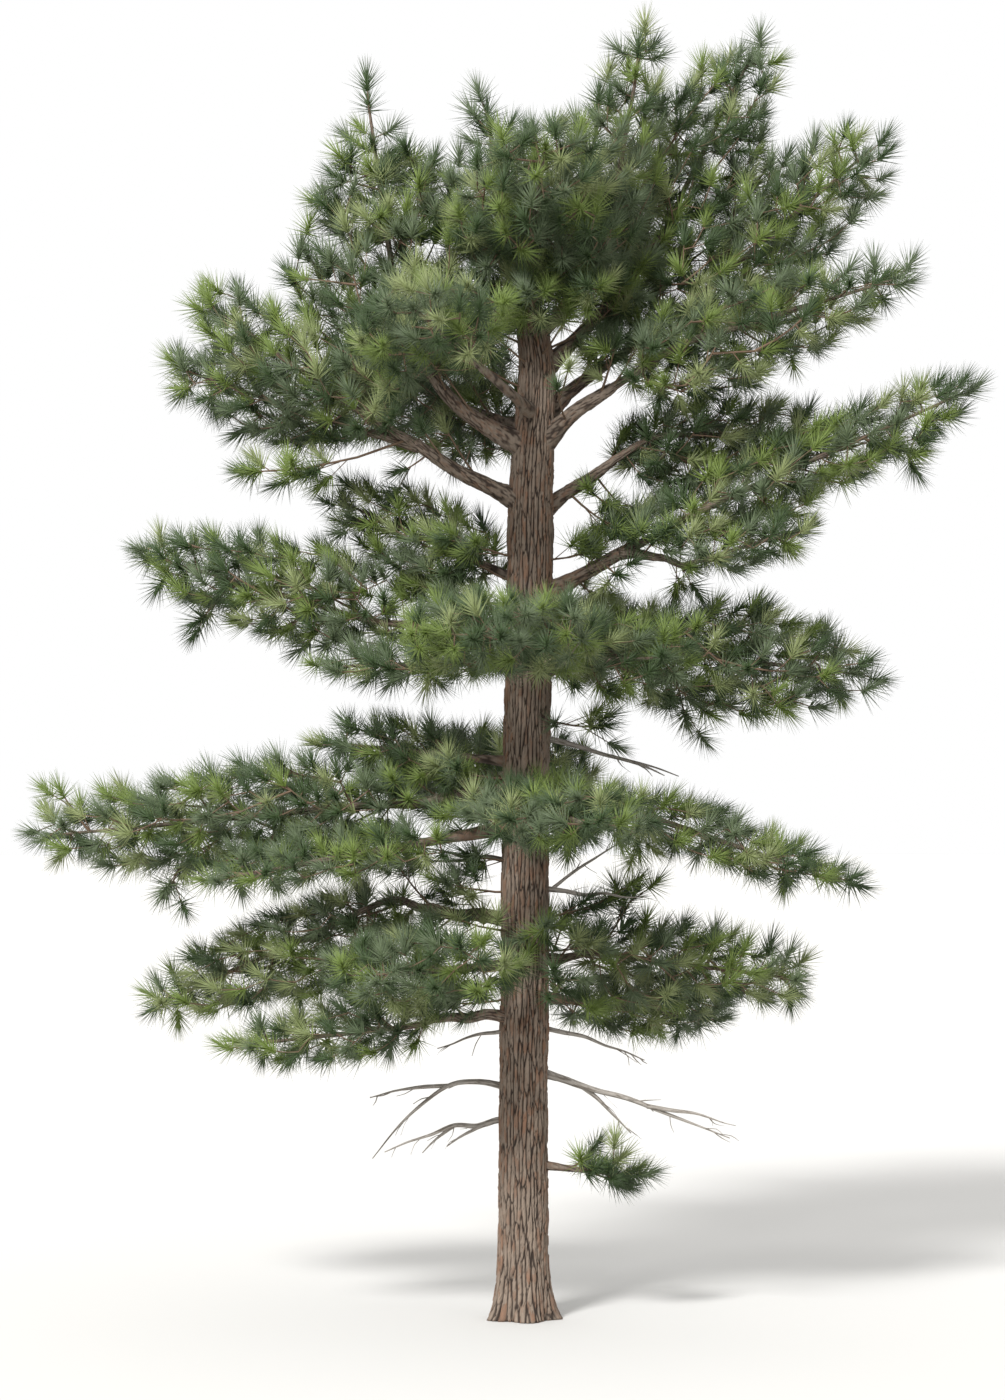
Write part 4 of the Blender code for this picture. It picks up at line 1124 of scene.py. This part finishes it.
def needle_finish(name, dark, light):
    """Waxy needles of one tint, with a slow drift of colour through the crown."""
    look = Look(name)
    drift = look.mottle(scale=1.7, detail=2.0)
    colour = look.blend(drift, dark, light)
    return look.finish(Base_Color=colour, Roughness=0.62 - drift * 0.16)


def make_foliage(paths, layout):
    """The twigs in one piece, and the tufts of needles in a piece for each group of masses."""
    spaces = {name: space for name, (space, _, _) in layout.items()}
    grown = {name: grow_mass(name, layout, spaces) for name in layout}
    for name, carrier, *rows in SHOOTS:
        lines = paths | {"stem": layout[name][1:]}
        for shoot in (Shoot(*row) for row in rows):
            twigs, tufts = grow_shoot(name, shoot, place_on(carrier, shoot.at, lines))
            grown[name][0].extend(twigs)
            grown[name][1].extend(tufts)
    twigs = [twig for some, _ in grown.values() for twig in some]
    corners, faces = twig_arrays(twigs)
    twig_piece = joined_mesh("twigs", corners, faces, np.zeros(len(faces)), [twig_finish()])
    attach(twig_piece, "root")
    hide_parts(*layout)
    tints = [needle_finish(tint.name, tint.dark, tint.light) for tint in NEEDLE_TINTS]
    kinds = [tuft_shape(kind) for kind in range(TUFT_KINDS)]
    for piece_name in NEEDLE_PIECES:
        names = [name for name in layout if piece_of(name) == piece_name]
        tufts = [tuft for name in names for tuft in grown[name][1]]
        corners, faces, tint = place_tufts(tufts, kinds, random.Random(piece_name))
        piece = joined_mesh(piece_name, corners, faces, tint, tints)
        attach(piece, "root")
        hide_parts(*names)


def piece_of(mass_name):
    """The piece that a mass belongs to."""
    return next(piece for piece, words in NEEDLE_PIECES.items() if any(word in mass_name for word in words))


def make_wood(paths, layout):
    """Trunk, boughs and dead limbs with their bark."""
    trunk = make_trunk(bark_finish("trunk_bark", TRUNK_COLOURS))
    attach(trunk, "root")
    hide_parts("trunk")
    boughs = make_boughs(paths, layout, bark_finish("bough_bark", BOUGH_COLOURS))
    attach(boughs, "root")
    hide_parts(*[bough.name for bough in BOUGHS])
    dead = make_dead_limbs(dead_finish())
    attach(dead, "root")
    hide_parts(*[limb.name for limb in DEAD_LIMBS])


def make_stage():
    """A pale floor, soft light from all round and a low sun from the upper left."""
    shape = bmesh.new()
    bmesh.ops.create_circle(shape, cap_ends=True, segments=FLOOR_SEGMENTS, radius=FLOOR_RADIUS)
    look = Look("pale_floor")
    floor = mesh_object("floor", shape, [look.finish(Base_Color=FLOOR_COLOUR, Roughness=0.9)])
    floor.location.z = -FLOOR_DROP
    world = bpy.data.worlds.new("studio")
    world.use_nodes = True
    background = world.node_tree.nodes["Background"]
    background.inputs["Color"].default_value = WHITE
    background.inputs["Strength"].default_value = 1.0
    bpy.context.scene.world = world
    sun = bpy.data.lights.new("sun", "SUN")
    sun.energy = SUN_STRENGTH
    sun.angle = SUN_WIDTH
    sun_object = bpy.data.objects.new("sun", sun)
    sun_object.rotation_euler = (SUN_TILT, 0.0, SUN_TURN)
    bpy.context.scene.collection.objects.link(sun_object)
    bpy.context.scene.view_settings.view_transform = "Standard"


def make_camera():
    """A level view from the front, framed as the drawing is."""
    wide, tall = FRAME_PIXELS
    lens_data = bpy.data.cameras.new("camera")
    lens_data.sensor_width = SENSOR
    half_height = tall * METRES_PER_PIXEL / 2
    lens_data.lens = SENSOR / 2 * CAMERA_DISTANCE / half_height
    lens_data.clip_end = VIEW_END
    camera = bpy.data.objects.new("camera", lens_data)
    across = (wide / 2 - TRUNK_PIXEL) * METRES_PER_PIXEL
    up = (GROUND_PIXEL - tall / 2) * METRES_PER_PIXEL
    camera.location = (across, -CAMERA_DISTANCE, up)
    camera.rotation_euler = (math.radians(90), 0.0, 0.0)
    bpy.context.scene.collection.objects.link(camera)
    bpy.context.scene.camera = camera


# Noise vectors differ from run to run until their seed is set
noise.seed_set(NOISE_SEED)
make_camera()
make_stage()
bough_paths = lay_out_boughs()
mass_layout = {mass.name: lay_out_mass(mass, bough_paths) for mass in MASSES}
make_wood(bough_paths, mass_layout)
make_foliage(bough_paths, mass_layout)

bpy.context.view_layer.update()
